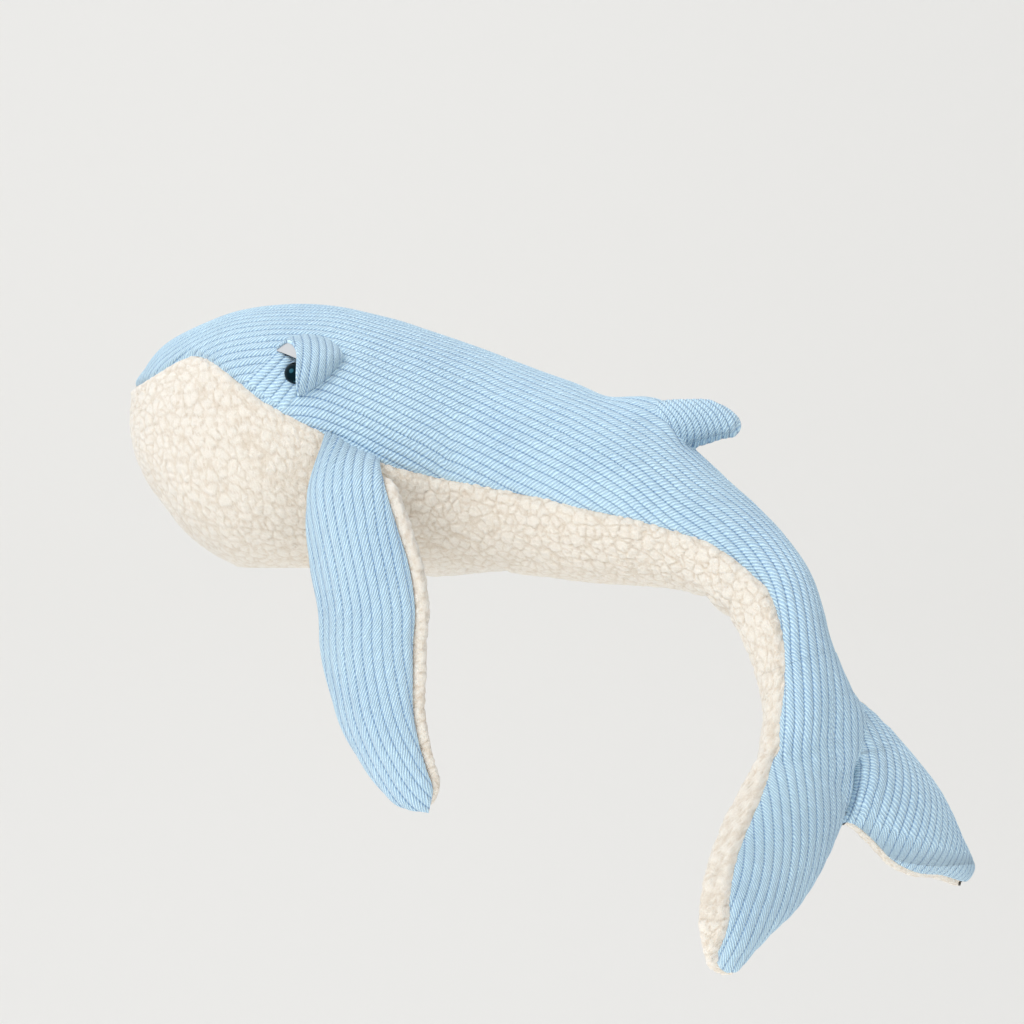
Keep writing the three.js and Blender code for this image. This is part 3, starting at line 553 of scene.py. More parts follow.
def pile_height(points, to_seam):
    """How far the pile stands out at each point, and how deep in a hollow it is, from 0 to 1, which sets the
    shade painted into the pile's hollows.

    Beyond the seam, where to_seam is negative, the pile laps over the knit and then dives under it.
    """
    wander = np.stack([swell(points, 0.0055, 21 + k) for k in range(3)], -1)
    first, second = nubs(points + 0.0016 * wander, NUB_SIZE, 31)
    fine_first, _ = nubs(points + 0.0006 * wander, CURL_SIZE, 41)
    gap = np.clip((second - first) / 0.24, 0, 1)
    dome = 1 - np.clip(first / 0.9, 0, 1) ** 2
    fine_dome = 1 - np.clip(fine_first / 0.8, 0, 1) ** 2
    uneven = 0.75 + 0.45 * swell(points, 0.011, 51)
    height = NUB_HEIGHT * uneven * (0.45 * dome + 0.55 * gap**0.6 - 0.5) + CURL_HEIGHT * (fine_dome - 0.5)
    # The hollow mask: painted shade for the cracks between nubs and the low parts of the curls.
    hollow = 0.75 * (1 - gap) ** 1.3 + 0.25 * (1 - fine_dome)
    height = height + PILE_SWELL * smooth(to_seam, -0.001, 0.007)
    dive = -PILE_DIVE * np.clip(-to_seam / PILE_OVERLAP, 0, 1) ** 1.4
    return lumps(points) + height + seam_dip(np.abs(to_seam)) + dive, np.clip(hollow, 0, 1)


def smooth_mesh(name, points, quads, normals, cloth, trait):
    """A mesh with smooth shading, its cloth's coordinates and its place at rest as attributes.

    cloth holds coordinates for the quads' corners. The attribute trait says how deep in a hollow the
    pile is, which sets the shade painted into its hollows, or how the knit's strands slant.
    """
    mesh = bpy.data.meshes.new(name)
    mesh.vertices.add(len(points))
    mesh.vertices.foreach_set("co", points.astype(np.float32).ravel())
    mesh.loops.add(quads.size)
    mesh.loops.foreach_set("vertex_index", quads.astype(np.int32).ravel())
    mesh.polygons.add(len(quads))
    mesh.polygons.foreach_set("loop_start", np.arange(0, quads.size, 4, dtype=np.int32))
    mesh.update(calc_edges=True)
    mesh.polygons.foreach_set("use_smooth", np.ones(len(quads), bool))
    layer = mesh.uv_layers.new(name="cloth")
    layer.data.foreach_set("uv", cloth.astype(np.float32).ravel())
    rest = mesh.attributes.new("rest", "FLOAT_VECTOR", "POINT")
    rest.data.foreach_set("vector", points.astype(np.float32).ravel())
    own = mesh.attributes.new("trait", "FLOAT", "POINT")
    own.data.foreach_set("value", trait.astype(np.float32))
    mesh.normals_split_custom_set_from_vertices(normals.astype(float).tolist())
    return mesh


def grid_piece(name, points, normals, cloth=None, trait=0.0, closed=False, fold=None, beyond=None):
    """An object from a grid of points [row, column, 3].

    Before the column fold, the cloth's coordinates there have the other sign, as on a mirrored half.
    beyond holds a mask of points and the cloth's coordinates for the faces that lie within it.
    """
    rows, columns = points.shape[:2]
    index = np.arange(rows * columns).reshape(rows, columns)
    if closed:
        index = np.concatenate([index, index[:, :1]], 1)
    corners = [index[:-1, :-1], index[:-1, 1:], index[1:, 1:], index[1:, :-1]]
    quads = np.stack(corners, -1).reshape(-1, 4)
    cloth = np.zeros((rows, columns, 2)) if cloth is None else cloth
    corner_cloth = cloth.reshape(-1, 2)[quads]
    if fold is not None:
        mirrored = (quads[:, :1] % columns < fold) & (quads % columns == fold)
        corner_cloth[..., 0] *= np.where(mirrored, -1, 1)
    if beyond is not None:
        within = beyond[0].ravel()[quads].mean(1) > 0.5
        corner_cloth[within] = beyond[1].reshape(-1, 2)[quads[within]]
    trait = np.broadcast_to(trait, (rows, columns)).ravel()
    flat = (points.reshape(-1, 3), quads, normals.reshape(-1, 3), corner_cloth, trait)
    piece = bpy.data.objects.new(name, smooth_mesh(name, *flat))
    bpy.context.scene.collection.objects.link(piece)
    return piece


def stuffed(points, sewn, closed=False):
    """How far the points of a coarse skin move when it is stuffed: cloth with pressure behind it."""
    piece = grid_piece("skin_to_stuff", points, grid_normals(points, closed), closed=closed)
    group = piece.vertex_groups.new(name="sewn")
    group.add([int(i) for i in np.flatnonzero(sewn.ravel())], 1.0, "REPLACE")
    cloth = piece.modifiers.new("stuffing", "CLOTH")
    cloth.settings.quality = 5
    cloth.settings.mass = CLOTH_MASS
    cloth.settings.vertex_group_mass = "sewn"
    cloth.settings.use_pressure = True
    cloth.settings.uniform_pressure_force = STUFFING_PRESSURE
    cloth.settings.shrink_min = -CLOTH_SLACK
    cloth.settings.effector_weights.gravity = 0
    cloth.point_cache.frame_end = STUFFING_FRAMES
    for number in range(1, STUFFING_FRAMES + 1):
        bpy.context.scene.frame_set(number)
    evaluated = piece.evaluated_get(bpy.context.evaluated_depsgraph_get())
    moved = np.empty(points.size, np.float32)
    evaluated.to_mesh().vertices.foreach_get("co", moved)
    evaluated.to_mesh_clear()
    mesh = piece.data
    bpy.data.objects.remove(piece)
    bpy.data.meshes.remove(mesh)
    bpy.context.scene.frame_set(1)
    shift = moved.reshape(points.shape) - points
    size = np.maximum(np.linalg.norm(shift, axis=-1, keepdims=True), 1e-9)
    return shift * STUFFING_REACH * np.tanh(size / STUFFING_REACH) / size


def stuffed_shift(points, sewn, inset, closed=False):
    """How far a skin's points end up from where they were, once it is drawn in and then stuffed."""
    inward = -inset * grid_normals(points, closed)
    return inward + stuffed(points + inward, sewn, closed)


def sewn_places(points, columns):
    """Which points of a coarse grid are held: its first and last two rows, and its seams' columns."""
    sewn = np.zeros(points.shape[:2], bool)
    sewn[:, columns] = True
    sewn[:2] = True
    sewn[-2:] = True
    return sewn


def spread(shift, rows, columns):
    """A coarse grid's values at finer rows and columns, by smooth curves."""
    count = shift.shape[1]
    down = row_at(shift.reshape(len(shift), -1), rows).reshape(len(rows), count, 3)
    across = np.moveaxis(down, 1, 0).reshape(count, -1)
    return np.moveaxis(row_at(across, columns).reshape(len(columns), len(rows), 3), 0, 1)


def swollen(points, at, swelling, columns, is_first):
    """A cover's points with the swelling of its coarse grid, whose first or last columns it spans."""
    stations, shift = swelling
    shift = np.concatenate([shift[:, -2:], shift, shift[:, :3]], 1)
    rows = np.interp(at, stations, np.arange(len(stations)))
    first = 2 if is_first else 2 + columns
    return points + spread(shift, rows, first + columns * np.linspace(0, 1, points.shape[1]))


def soft(piece, material, nodes):
    """Gives a finished soft piece its material and hides the frame's parts that it covers."""
    piece.data.materials.append(material)
    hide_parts(*nodes)
    return piece


# Materials


class Nodes:
    """A material with short names for the shader nodes used here."""

    def __init__(self, name):
        self.material = bpy.data.materials.new(name)
        self.material.use_nodes = True
        self.tree = self.material.node_tree
        self.tree.nodes.clear()
        output = self.tree.nodes.new("ShaderNodeOutputMaterial")
        self.shader = self.tree.nodes.new("ShaderNodeBsdfPrincipled")
        self.tree.links.new(self.shader.outputs[0], output.inputs["Surface"])

    def put(self, socket, value):
        if isinstance(value, bpy.types.NodeSocket):
            self.tree.links.new(value, socket)
        else:
            socket.default_value = value

    def node(self, kind, inputs=(), output=0, **settings):
        made = self.tree.nodes.new(kind)
        for key, value in settings.items():
            setattr(made, key, value)
        for key, value in dict(inputs).items():
            self.put(made.inputs[key], value)
        return made.outputs[output]

    def math(self, operation, a, b=0.0):
        return self.node("ShaderNodeMath", {0: a, 1: b}, operation=operation)

    def plus(self, a, b):
        return self.math("ADD", a, b)

    def less(self, a, b):
        return self.math("SUBTRACT", a, b)

    def times(self, a, b):
        return self.math("MULTIPLY", a, b)

    def step(self, value, low, high):
        inputs = {"Value": value, "From Min": low, "From Max": high, "To Min": 0.0, "To Max": 1.0}
        return self.node("ShaderNodeMapRange", inputs, interpolation_type="SMOOTHSTEP")

    def mix(self, factor, a, b):
        inputs = {"Factor": factor, 6: a, 7: b}
        return self.node("ShaderNodeMix", inputs, output=2, data_type="RGBA", clamp_factor=True)

    def attribute(self, name, output):
        return self.node("ShaderNodeAttribute", attribute_name=name, output=output)

    def noise(self, place, size, detail=2.0, distortion=0.0):
        inputs = {"Vector": place, "Scale": 1 / size, "Detail": detail, "Distortion": distortion}
        return self.node("ShaderNodeTexNoise", inputs, noise_dimensions="3D")

    def bump(self, height, distance, strength):
        inputs = {"Height": height, "Distance": distance, "Strength": strength}
        return self.node("ShaderNodeBump", inputs)

    def set(self, **values):
        """Sets the shader's inputs, named with low lines for spaces."""
        for name, value in values.items():
            self.put(self.shader.inputs[name.replace("_", " ")], value)


def linear(red, green, blue):
    """A colour given as it looks on a screen, from 0 to 255."""
    def one(value):
        share = value / 255
        return share / 12.92 if share <= 0.04045 else ((share + 0.055) / 1.055) ** 2.4
    return (one(red), one(green), one(blue), 1.0)


def knit_material(name, light, dark):
    """Flat ribs with narrow grooves, each of fine slanting strands, and the fuzz of soft yarn; shade is
    painted darker into the grooves and into the gaps between strands.
    """
    n = Nodes(name)
    cloth = n.node("ShaderNodeUVMap", uv_map="cloth")
    parts = n.tree.nodes.new("ShaderNodeSeparateXYZ")
    n.put(parts.inputs[0], cloth)
    across, along = parts.outputs[0], parts.outputs[1]
    rest = n.attribute("rest", 1)
    wander = n.less(n.noise(rest, 0.03, 1.0), 0.5)
    across = n.plus(across, n.times(wander, 0.0016))
    phase = n.math("DIVIDE", across, RIB_PITCH)
    index = n.math("ROUND", phase)
    local = n.less(phase, index)
    off_middle = n.times(n.math("ABSOLUTE", local), 2.0)
    groove = n.step(off_middle, 0.7, 1.0)
    shift = n.node("ShaderNodeTexWhiteNoise", {"W": index}, noise_dimensions="1D")
    slant = n.times(n.times(local, RIB_PITCH), n.attribute("trait", 2))
    run = n.math("DIVIDE", n.plus(along, slant), STRAND_PITCH)
    run = n.plus(run, shift)
    run = n.plus(run, n.times(n.less(n.noise(rest, 0.006, 2.0), 0.5), 1.1))
    wave = n.math("COSINE", n.times(run, 2 * math.pi))
    strand = n.plus(n.times(wave, 0.5), 0.5)
    fuzz = n.noise(rest, 0.0011, 3.0)
    crown = n.less(1.0, n.math("POWER", off_middle, 2.6))
    height = n.plus(n.times(crown, 0.9), n.times(strand, 0.8))
    height = n.plus(height, n.times(fuzz, 0.4))
    patchy = n.noise(rest, 0.05, 3.0)
    # Painted shade: the colour darkens in the grooves between ribs and in the low gaps between strands. The
    # patchy and fuzz terms below are random tone of the yarn.
    shade = n.plus(n.times(groove, 0.46), n.times(n.less(1.0, strand), 0.56))
    shade = n.plus(shade, n.times(n.less(patchy, 0.5), 0.3))
    shade = n.plus(shade, n.times(n.less(fuzz, 0.5), 0.6))
    n.set(Base_Color=n.mix(shade, light, dark), Normal=n.bump(height, 0.0012, 0.9))
    n.set(Roughness=0.95, Specular_IOR_Level=0.15, Sheen_Weight=0.3, Sheen_Roughness=0.5)
    return n.material


def pile_material(name, light, dark):
    """Curly pile: pale nubs with shade painted darker into the hollows between them and into the low parts
    of the fine curls.
    """
    n = Nodes(name)
    rest = n.attribute("rest", 1)
    hollow = n.attribute("trait", 2)
    curls = n.noise(rest, 0.0021, 4.0, 1.6)
    fluff = n.noise(rest, 0.0007, 2.0)
    height = n.plus(curls, n.times(fluff, 0.5))
    # Painted shade: darker in the hollows between nubs and where the curls' bump is low.
    shade = n.plus(n.times(hollow, 0.75), n.times(n.less(0.5, curls), 1.1))
    n.set(Base_Color=n.mix(shade, light, dark), Normal=n.bump(height, 0.0016, 0.9))
    n.set(Subsurface_Weight=0.35, Subsurface_Radius=(1.0, 0.9, 0.8), Subsurface_Scale=0.004)
    n.set(Roughness=1.0, Specular_IOR_Level=0.1, Sheen_Weight=0.4, Sheen_Roughness=0.6)
    return n.material


def gloss_material(name, colour):
    """Dark glossy plastic whose highlights are bluish."""
    n = Nodes(name)
    n.set(Base_Color=colour, Roughness=0.12, Specular_IOR_Level=0.35)
    n.set(Specular_Tint=linear(90, 190, 225))
    return n.material


def plain_material(name, colour, roughness):
    n = Nodes(name)
    n.set(Base_Color=colour, Roughness=roughness)
    return n.material


# The second colour of each cloth is mostly painted shade: the knit's for its grooves and strand gaps, and
# also its random patchy tone; the pile's for its hollows.
KNIT = knit_material("blue_knit", linear(211, 241, 254), linear(115, 154, 197))
PILE = pile_material("curly_pile", linear(241, 235, 224), linear(215, 200, 179))
EYE = gloss_material("eye_gloss", linear(5, 7, 9))
WASHER = plain_material("washer_plastic", linear(230, 230, 226), 0.5)
LINING = plain_material("lid_lining", linear(186, 188, 190), 0.95)


# The body


def body_grid(step):
    """The rows of the body's skin, from the nose to the tail fin."""
    at, length = even_stations(body_skin, 0.0, BODY_END_STATION, step)
    safe = np.maximum(at, 0.03)
    f = body_frame(safe)
    return SimpleNamespace(at=at, safe=safe, length=length, seam=f.seam, radius=(f.tall + f.wide) / 2)


def body_swelling():
    """Stations of a coarse grid of the body, and how far the stuffing moves its points."""
    at, _ = even_stations(body_skin, 0.35, BODY_END_STATION, STUFFED_STEP)
    seam = body_frame(at).seam
    back, _ = even_turns(body_skin, at, -seam, seam, STUFFED_COLUMNS)
    belly, _ = even_turns(body_skin, at, seam, 360 - seam, STUFFED_COLUMNS)
    points = body_skin(at[:, None], np.concatenate([back[:, :-1], belly[:, :-1]], 1))
    sewn = sewn_places(points, [0, STUFFED_COLUMNS])
    free = smooth(at, 0, 1.5) * (1 - smooth(at, BODY_END_STATION - 1.2, BODY_END_STATION))
    free = np.broadcast_to(free[:, None], sewn.shape)
    turns = np.concatenate([back[:, :-1], belly[:, :-1]], 1)
    turns = np.abs((turns + 180) % 360 - 180)
    for station, turn, reach, width in HELD_PLACES:
        away = ((at[:, None] - station) / reach) ** 2 + ((turns - turn) / width) ** 2
        free = free * smooth(away, 0.3, 1.6)
    return at, stuffed_shift(points, sewn, STUFFED_INSET, True) * free[..., None]


def body_cover(grid, first, last, columns, is_back):
    """The points and normals of the skin between two turns, and how far each is from the first.
    """
    turns, width = even_turns(body_skin, grid.safe, first, last, columns)
    points = body_skin(grid.at[:, None], turns)
    if SWELLING is not None:
        points = swollen(points, grid.at, SWELLING, STUFFED_COLUMNS, is_back)
    return points, grid_normals(points), width[:, None] * np.linspace(0, 1, columns + 1)


def split_rows(grid):
    """The row where the skin is split between its front and its rear length."""
    return int(np.searchsorted(grid.at, SPLIT_STATION))


def drawn_up(at):
    """How far the ribs are drawn up towards the middle of the back."""
    return DRAWN_RIBS * RIB_PITCH * smooth(at, *DRAWN_STATIONS)


def body_back(grid):
    """The knitted back of the body, in two lengths, with the ridge that runs up to the back fin.

    grid.end keeps the cloth's coordinates and their skew at the last row, for the tail fin's knit.
    """
    points, normals, arc = body_cover(grid, -grid.seam, grid.seam, BACK_COLUMNS, True)
    off_middle = arc - arc[:, -1:] / 2
    stretch = 1 + np.interp(grid.at, *np.array(BACK_STRETCH_SHARES).T)[:, None]
    across = np.abs(off_middle) / stretch + drawn_up(grid.at)[:, None]
    across = np.where(np.arange(BACK_COLUMNS + 1) < BACK_COLUMNS // 2, -across, across)
    steps = np.linalg.norm(np.diff(points, axis=0), axis=-1)
    along = running(steps)
    height = knit_height(points, across, np.minimum(arc, arc[:, -1:] - arc))
    rise, top, fall, end = RIDGE_STATIONS
    ridge = smooth(grid.at, rise, top) * (1 - smooth(grid.at, fall, end))
    height = height + RIDGE_HEIGHT * ridge[:, None] * np.exp(-((off_middle / RIDGE_WIDTH) ** 2))
    height[-2:] -= OVERLAP_DEPTH
    points = points + normals * height[..., None]
    normals = grid_normals(points)
    cloth = np.stack([across, along], -1)
    cut = split_rows(grid)
    fold = BACK_COLUMNS // 2
    front, rear = slice(0, cut + 1), slice(cut, None)
    skew = np.gradient(along, axis=1) / np.maximum(np.gradient(across, axis=1), 1e-5)
    skew[:, fold - 2 : fold + 3] = 0
    nearing = smooth(grid.at, LOBE_SLANT_START, BODY_END_STATION)[:, None]
    slant = BODY_SLANT + (LOBE_SLANT - BODY_SLANT) * nearing
    skew = np.clip(skew, -SKEW_LIMIT, SKEW_LIMIT)
    slant = slant - skew
    grid.end = np.stack([across[-1], along[-1], skew[-1]])
    pieces = []
    for name, part in (("knitted_back_of_trunk", front), ("knitted_back_of_tail", rear)):
        grids = (points[part], normals[part], cloth[part], slant[part])
        pieces.append(grid_piece(name, *grids, fold=fold))
    return pieces


def body_belly(grid):
    """The pile belly of the body, in two lengths, flat where it rests."""
    over = np.degrees(PILE_OVERLAP / np.maximum(grid.radius, 0.012))
    last = 360 - grid.seam + over
    points, normals, arc = body_cover(grid, grid.seam - over, last, BELLY_COLUMNS, False)
    to_seam = np.minimum(arc, arc[:, -1:] - arc) - PILE_OVERLAP
    height, hollow = pile_height(points, to_seam)
    height[-2:] -= OVERLAP_DEPTH
    points = points + normals * height[..., None]
    resting = grid.at < REST_END_STATION + 0.4
    points[resting, :, 2] = np.maximum(points[resting, :, 2], 0)
    normals = grid_normals(points)
    cut = split_rows(grid)
    pieces = []
    for name, part in (("pile_belly_of_trunk", slice(0, cut + 1)), ("pile_belly_of_tail", slice(cut, None))):
        pieces.append(grid_piece(name, points[part], normals[part], trait=hollow[part]))
    return pieces


def body_middle(at):
    """The middle of the body at a station."""
    return tuple(body_frame(np.array(float(at))).middle)


def make_body(grid):
    trunk_back, tail_back = body_back(grid)
    trunk_belly, tail_belly = body_belly(body_grid(PILE_STEP))
    soft(trunk_back, KNIT, ["left_back_panel", "right_back_panel", "trunk_stuffing"])
    soft(trunk_belly, PILE, ["belly_panel", "tail_root_bend"])
    upper_backs = ["tail_upper_left_back", "tail_upper_right_back", "tail_upper_stuffing"]
    soft(tail_back, KNIT, upper_backs)
    soft(tail_belly, PILE, ["tail_upper_belly", "tail_stock_bend"])
    for piece in (trunk_back, trunk_belly):
        start, end = body_middle(TRUNK_END_STATION), body_middle(UPPER_START_STATION)
        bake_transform(piece)
    for piece in (tail_back, tail_belly):
        start, end = body_middle(UPPER_END_STATION), body_middle(LOWER_START_STATION)
        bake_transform(piece)


# The tail fin. Its skin is a grid over the tail's own plane: a is the distance beyond the middle of
# the tail fin along the tail, and u the distance out from the tail's middle line.


def tail_length_table():
    """Stations up to the fork and their distances before it, as negative lengths."""
    at = np.linspace(BODY_END_STATION - 0.2, FORK_STATION, 200)
    middle = body_frame(at).middle
    steps = np.linalg.norm(np.diff(middle, axis=0), axis=-1)
    length = running(steps)
    return at, length - length[-1]


TAIL_STATIONS, TAIL_LENGTHS = tail_length_table()
FLUKE = np.array(FLUKE_STATION_SHARES) * [
    FLUKE_LENGTH, FLUKE_LENGTH, FLUKE_CHORD / 2, FLUKE_THICKNESS / 2, math.pi / 180
]


def lobe_field(a, u, side):
    """The square of a tail lobe's half thickness at a place in the tail's plane, negative outside."""
    low, high = np.zeros_like(u), np.full_like(u, len(FLUKE) - 1.0)
    for _ in range(26):
        middle = (low + high) / 2
        s = row_at(FLUKE, middle)
        beyond = s[..., 0] - (u - s[..., 1]) / np.tan(s[..., 4]) - a
        low, high = np.where(beyond < 0, middle, low), np.where(beyond < 0, high, middle)
    s = row_at(FLUKE, (low + high) / 2)
    off = (u - s[..., 1]) / np.sin(s[..., 4])
    edges = row_at(np.array(LOBE_EDGE_SHARES[side]), (low + high) / 2)
    wide = np.maximum(s[..., 2] * np.where(off > 0, edges[..., 0], edges[..., 1]), 1e-4)
    inside = s[..., 3] ** 2 * (1 - (off / wide) ** 2)
    root = (low + high) / 2 < 0.001
    tip = (low + high) / 2 > len(FLUKE) - 1.001
    short = np.abs(s[..., 0] - (u - s[..., 1]) / np.tan(s[..., 4]) - a)
    return np.where(root | tip, np.minimum(inside, 0) - 0.02 * short, inside)


def stock_sizes(a):
    """The body's half sizes at a distance beyond the middle of the tail fin."""
    at = np.interp(a, TAIL_LENGTHS, TAIL_STATIONS)
    fork = body_frame(np.array(float(FORK_STATION)))
    beyond = np.linspace(FORK_STATION, len(BODY) - 1, 60)
    reach = (body_frame(beyond).middle - fork.middle) @ fork.along
    at = np.where(a > 0, np.interp(a, reach, beyond), at)
    sizes = row_at(BODY, at)
    gone = np.where(a > reach[-1], a - reach[-1], 0)
    return sizes[..., 3], sizes[..., 4], gone


def stock_field(a, u, power):
    """The square of the body's half thickness at a place in the tail's plane."""
    tall, wide, gone = stock_sizes(a)
    share = np.abs(u) / np.maximum(wide, 1e-4)
    inside = np.maximum(1 - share**power, 0) ** (2 / power) - np.maximum(share - 1, 0)
    return tall**2 * inside - 0.02 * gone - np.maximum(share - 1, 0) * 1e-5


def bridge_field(a, u):
    """The cloth that spans the notch between the roots of the lobes."""
    half_width, middle, half_length, half_thick = BRIDGE_SIZES
    across = np.clip(1 - (u / half_width) ** 2, 0, 1)
    along = np.clip(1 - ((a - middle) / half_length) ** 2, 0, 1)
    return half_thick**2 * across * along


def fork_fields(a, u, side):
    """Squares of the half thickness of the top and of the underside, stock and lobe together."""
    lobe = lobe_field(a, u, side)
    bridge = bridge_field(a, u)
    soft_edge = 2.5e-5
    both = []
    for power in (2, FLATNESS_POWER):
        stock = stock_field(a, u, power)
        joined = 0.5 * (stock + lobe + np.sqrt((stock - lobe) ** 2 + soft_edge**2)) - 0.15 * soft_edge
        both.append(np.where(bridge > 0, np.maximum(joined, bridge), joined))
    return both


def fork_limits(rows, side):
    """Where the skin starts and ends in each row, out from the middle line."""
    u = np.linspace(0, FLUKE_LENGTH, 1400)
    a, u_grid = np.broadcast_arrays(rows[:, None], u)
    top, _ = fork_fields(a, u_grid, side)
    inner, outer = np.zeros(len(rows)), np.zeros(len(rows))
    for i, line in enumerate(top):
        inside = np.flatnonzero(line > 0)
        if len(inside) == 0:
            inner[i], outer[i] = inner[i - 1], inner[i - 1]
            continue
        first, last = inside[0], min(inside[-1], len(u) - 2)
        if first > 0:
            inner[i] = np.interp(0, [line[first - 1], line[first]], [u[first - 1], u[first]])
        outer[i] = np.interp(0, [-line[last], -line[last + 1]], [u[last], u[last + 1]])
    return inner, outer


def fork_rows():
    """Even rows from the stock to the end of the lobes, closer together at the very end."""
    start = float(np.interp(BODY_END_STATION, TAIL_STATIONS, TAIL_LENGTHS)) - ROW_STEP
    probe = np.linspace(0.1, 0.15, 400)
    inner, outer = fork_limits(probe, 1)
    end = probe[np.flatnonzero(outer - inner > 1e-4)[-1]]
    count = int((end - start) / ROW_STEP)
    rows = start + (end - start) * np.linspace(0, 1, count)
    tail = 24
    closing = end - (end - rows[-tail]) * (1 - np.sin(np.linspace(0, 1, 2 * tail) * math.pi / 2))
    return np.concatenate([rows[:-tail], closing])


def fork_place(a, u, h, side):
    """Points from places in the tail's plane: the right lobe is bent away from the back."""
    at = np.interp(a, TAIL_LENGTHS, TAIL_STATIONS)
    f = body_frame(at)
    beyond = np.maximum(a, 0)
    curl = 0.0
    if side < 0:
        turn = np.radians(RIGHT_FLUKE_TURN) * smooth(u, 0, 0.05)
        a_turned = a * np.cos(turn) + u * np.sin(turn)
        u = u * np.cos(turn) - a * np.sin(turn)
        beyond = beyond + a_turned - a
        curl = np.radians(RIGHT_FLUKE_CURL) / FLUKE_LENGTH * smooth(a, -0.045, 0.0)
    curl = np.maximum(curl, 1e-3)
    tilt = curl * u
    reach, dip = np.sin(tilt) / curl, (1 - np.cos(tilt)) / curl
    flat = f.middle + mixed((f.along, beyond), (f.side, side * reach), (f.back, -dip))
    return flat + mixed((f.back, h * np.cos(tilt)), (f.side, side * h * np.sin(tilt)))


def swell_fork(points, widths, side):
    """Adds the stuffing's swelling to one half of the tail fin."""
    start, columns = FORK_FINE // 4, 2 * FORK_FINE
    row_gap, column_gap = STUFFED_FORK_ROWS, FORK_FINE // STUFFED_FORK_COLUMNS
    rows = np.arange(0, np.flatnonzero(widths > 0.012)[-1], row_gap)
    coarse = points[rows][:, start : start + columns + 1 : column_gap][:, ::side]
    sewn = sewn_places(coarse, [0, FORK_FINE // column_gap, -1])
    shift = stuffed(coarse, sewn)[:, ::side]
    number = np.arange(len(points))
    ends = smooth(number, 0, 20) * (1 - smooth(number, rows[-1] - 16, rows[-1]))
    places = np.clip((np.arange(points.shape[1]) - start) / column_gap, 0, columns / column_gap)
    whole = spread(shift, np.minimum(number / row_gap, len(rows) - 1), places)
    off_middle = np.minimum(places, columns / column_gap - places)
    return points + whole * ends[:, None, None] * smooth(off_middle, 0, 6)[:, None]


def fork_grid(side):
    """One half of the tail fin: columns go out over the top and back over the underside.

    t is 0 at the inner end of the top, 1 at the outer edge and 2 at the inner end of the underside.
    """
    rows = fork_rows()
    inner, outer = fork_limits(rows, side)
    t = np.arange(-FORK_FINE // 4, 2 * FORK_FINE + FORK_FINE // 4 + 1) / FORK_FINE
    share = (1 - np.cos(math.pi * t)) / 2
    a = np.broadcast_to(rows[:, None], (len(rows), len(t)))
    u = inner[:, None] + (outer - inner)[:, None] * share
    top, under = fork_fields(a, u, side)
    on_top = (t % 2) <= 1
    h = np.where(on_top, np.sqrt(np.maximum(top, 0)), -np.sqrt(np.maximum(under, 0)))
    to_right = u * -side
    off_crease = to_right - np.interp(a, *np.array(CREASE).T)
    fold = np.exp(-((off_crease / CREASE_WIDTH) ** 2)) * smooth(a, -0.03, 0.02)
    slit = np.exp(-((off_crease / SLIT_WIDTH) ** 2)) * smooth(a, 0.012, 0.028)
    h = h * np.where(on_top, 1 - CREASE_SHARE * fold - SLIT_SHARE * slit, 1 - UNDER_CREASE_SHARE * fold)
    points = swell_fork(fork_place(a, u, h, side), outer - inner, side)
    steps = np.linalg.norm(np.diff(np.stack([u, h], -1), axis=1), axis=-1)
    arc = running(steps, 1)
    start, end = FORK_FINE // 4, FORK_FINE // 4 + 2 * FORK_FINE
    arc = arc - arc[:, start : start + 1]
    normals = grid_normals(points)
    closed = grid_normals(points[:, start : end + 1])
    together = inner <= 1e-9
    normals[together, start : end + 1] = closed[together]
    return SimpleNamespace(
        rows=rows, inner=inner, outer=outer, t=t, u=u, points=points, normals=normals * side, arc=arc,
        side=side, start=start, end=end, together=together,
    )


def seam_arc(grid):
    """How far along the top the seam between knit and pile lies in each row."""
    at = np.interp(grid.rows, TAIL_LENGTHS, TAIL_STATIONS)
    share = np.sin(np.radians(np.minimum(body_frame(at).seam, 80)))
    hem = grid.outer * (1 - share) * (1 - smooth(grid.rows, -0.01, 0.03))
    if grid.side > 0:
        hem = hem + LEFT_LOBE_HEM * smooth(grid.rows, -0.03, 0.03) * (1 - smooth(grid.rows, 0.09, 0.128))
    width = np.maximum(grid.outer - grid.inner, 1e-6)
    reached = 1 - np.minimum(hem / width, 0.3)
    t = np.arccos(1 - 2 * reached) / math.pi
    return np.array([np.interp(x, grid.t, line) for x, line in zip(t, grid.arc)])


def by_arc(grid, first, last, count):
    """A grid's points, normals and places at even steps between two lengths along each row."""
    arc = first[:, None] + (last - first)[:, None] * np.linspace(0, 1, count + 1)
    numbers = np.arange(len(grid.t))
    place = np.array([np.interp(row, line, numbers) for row, line in zip(arc, grid.arc)])
    low = np.clip(np.floor(place).astype(int), 0, len(numbers) - 2)
    f = place - low
    rows = np.arange(len(grid.rows))[:, None]

    def pick(values):
        a, b = values[rows, low], values[rows, low + 1]
        return a + (b - a) * (f[..., None] if values.ndim == 3 else f)

    normals = unit(pick(grid.normals))
    return SimpleNamespace(points=pick(grid.points), normals=normals, u=pick(grid.u), arc=arc)


def share_middle(left, right):
    """Gives both halves the same normals along the line where they meet."""
    together = left.together
    for column in (left.start, left.end):
        mean = unit(left.normals[:, column] + right.normals[:, column])
        for half in (left, right):
            half.normals[together, column] = mean[together]


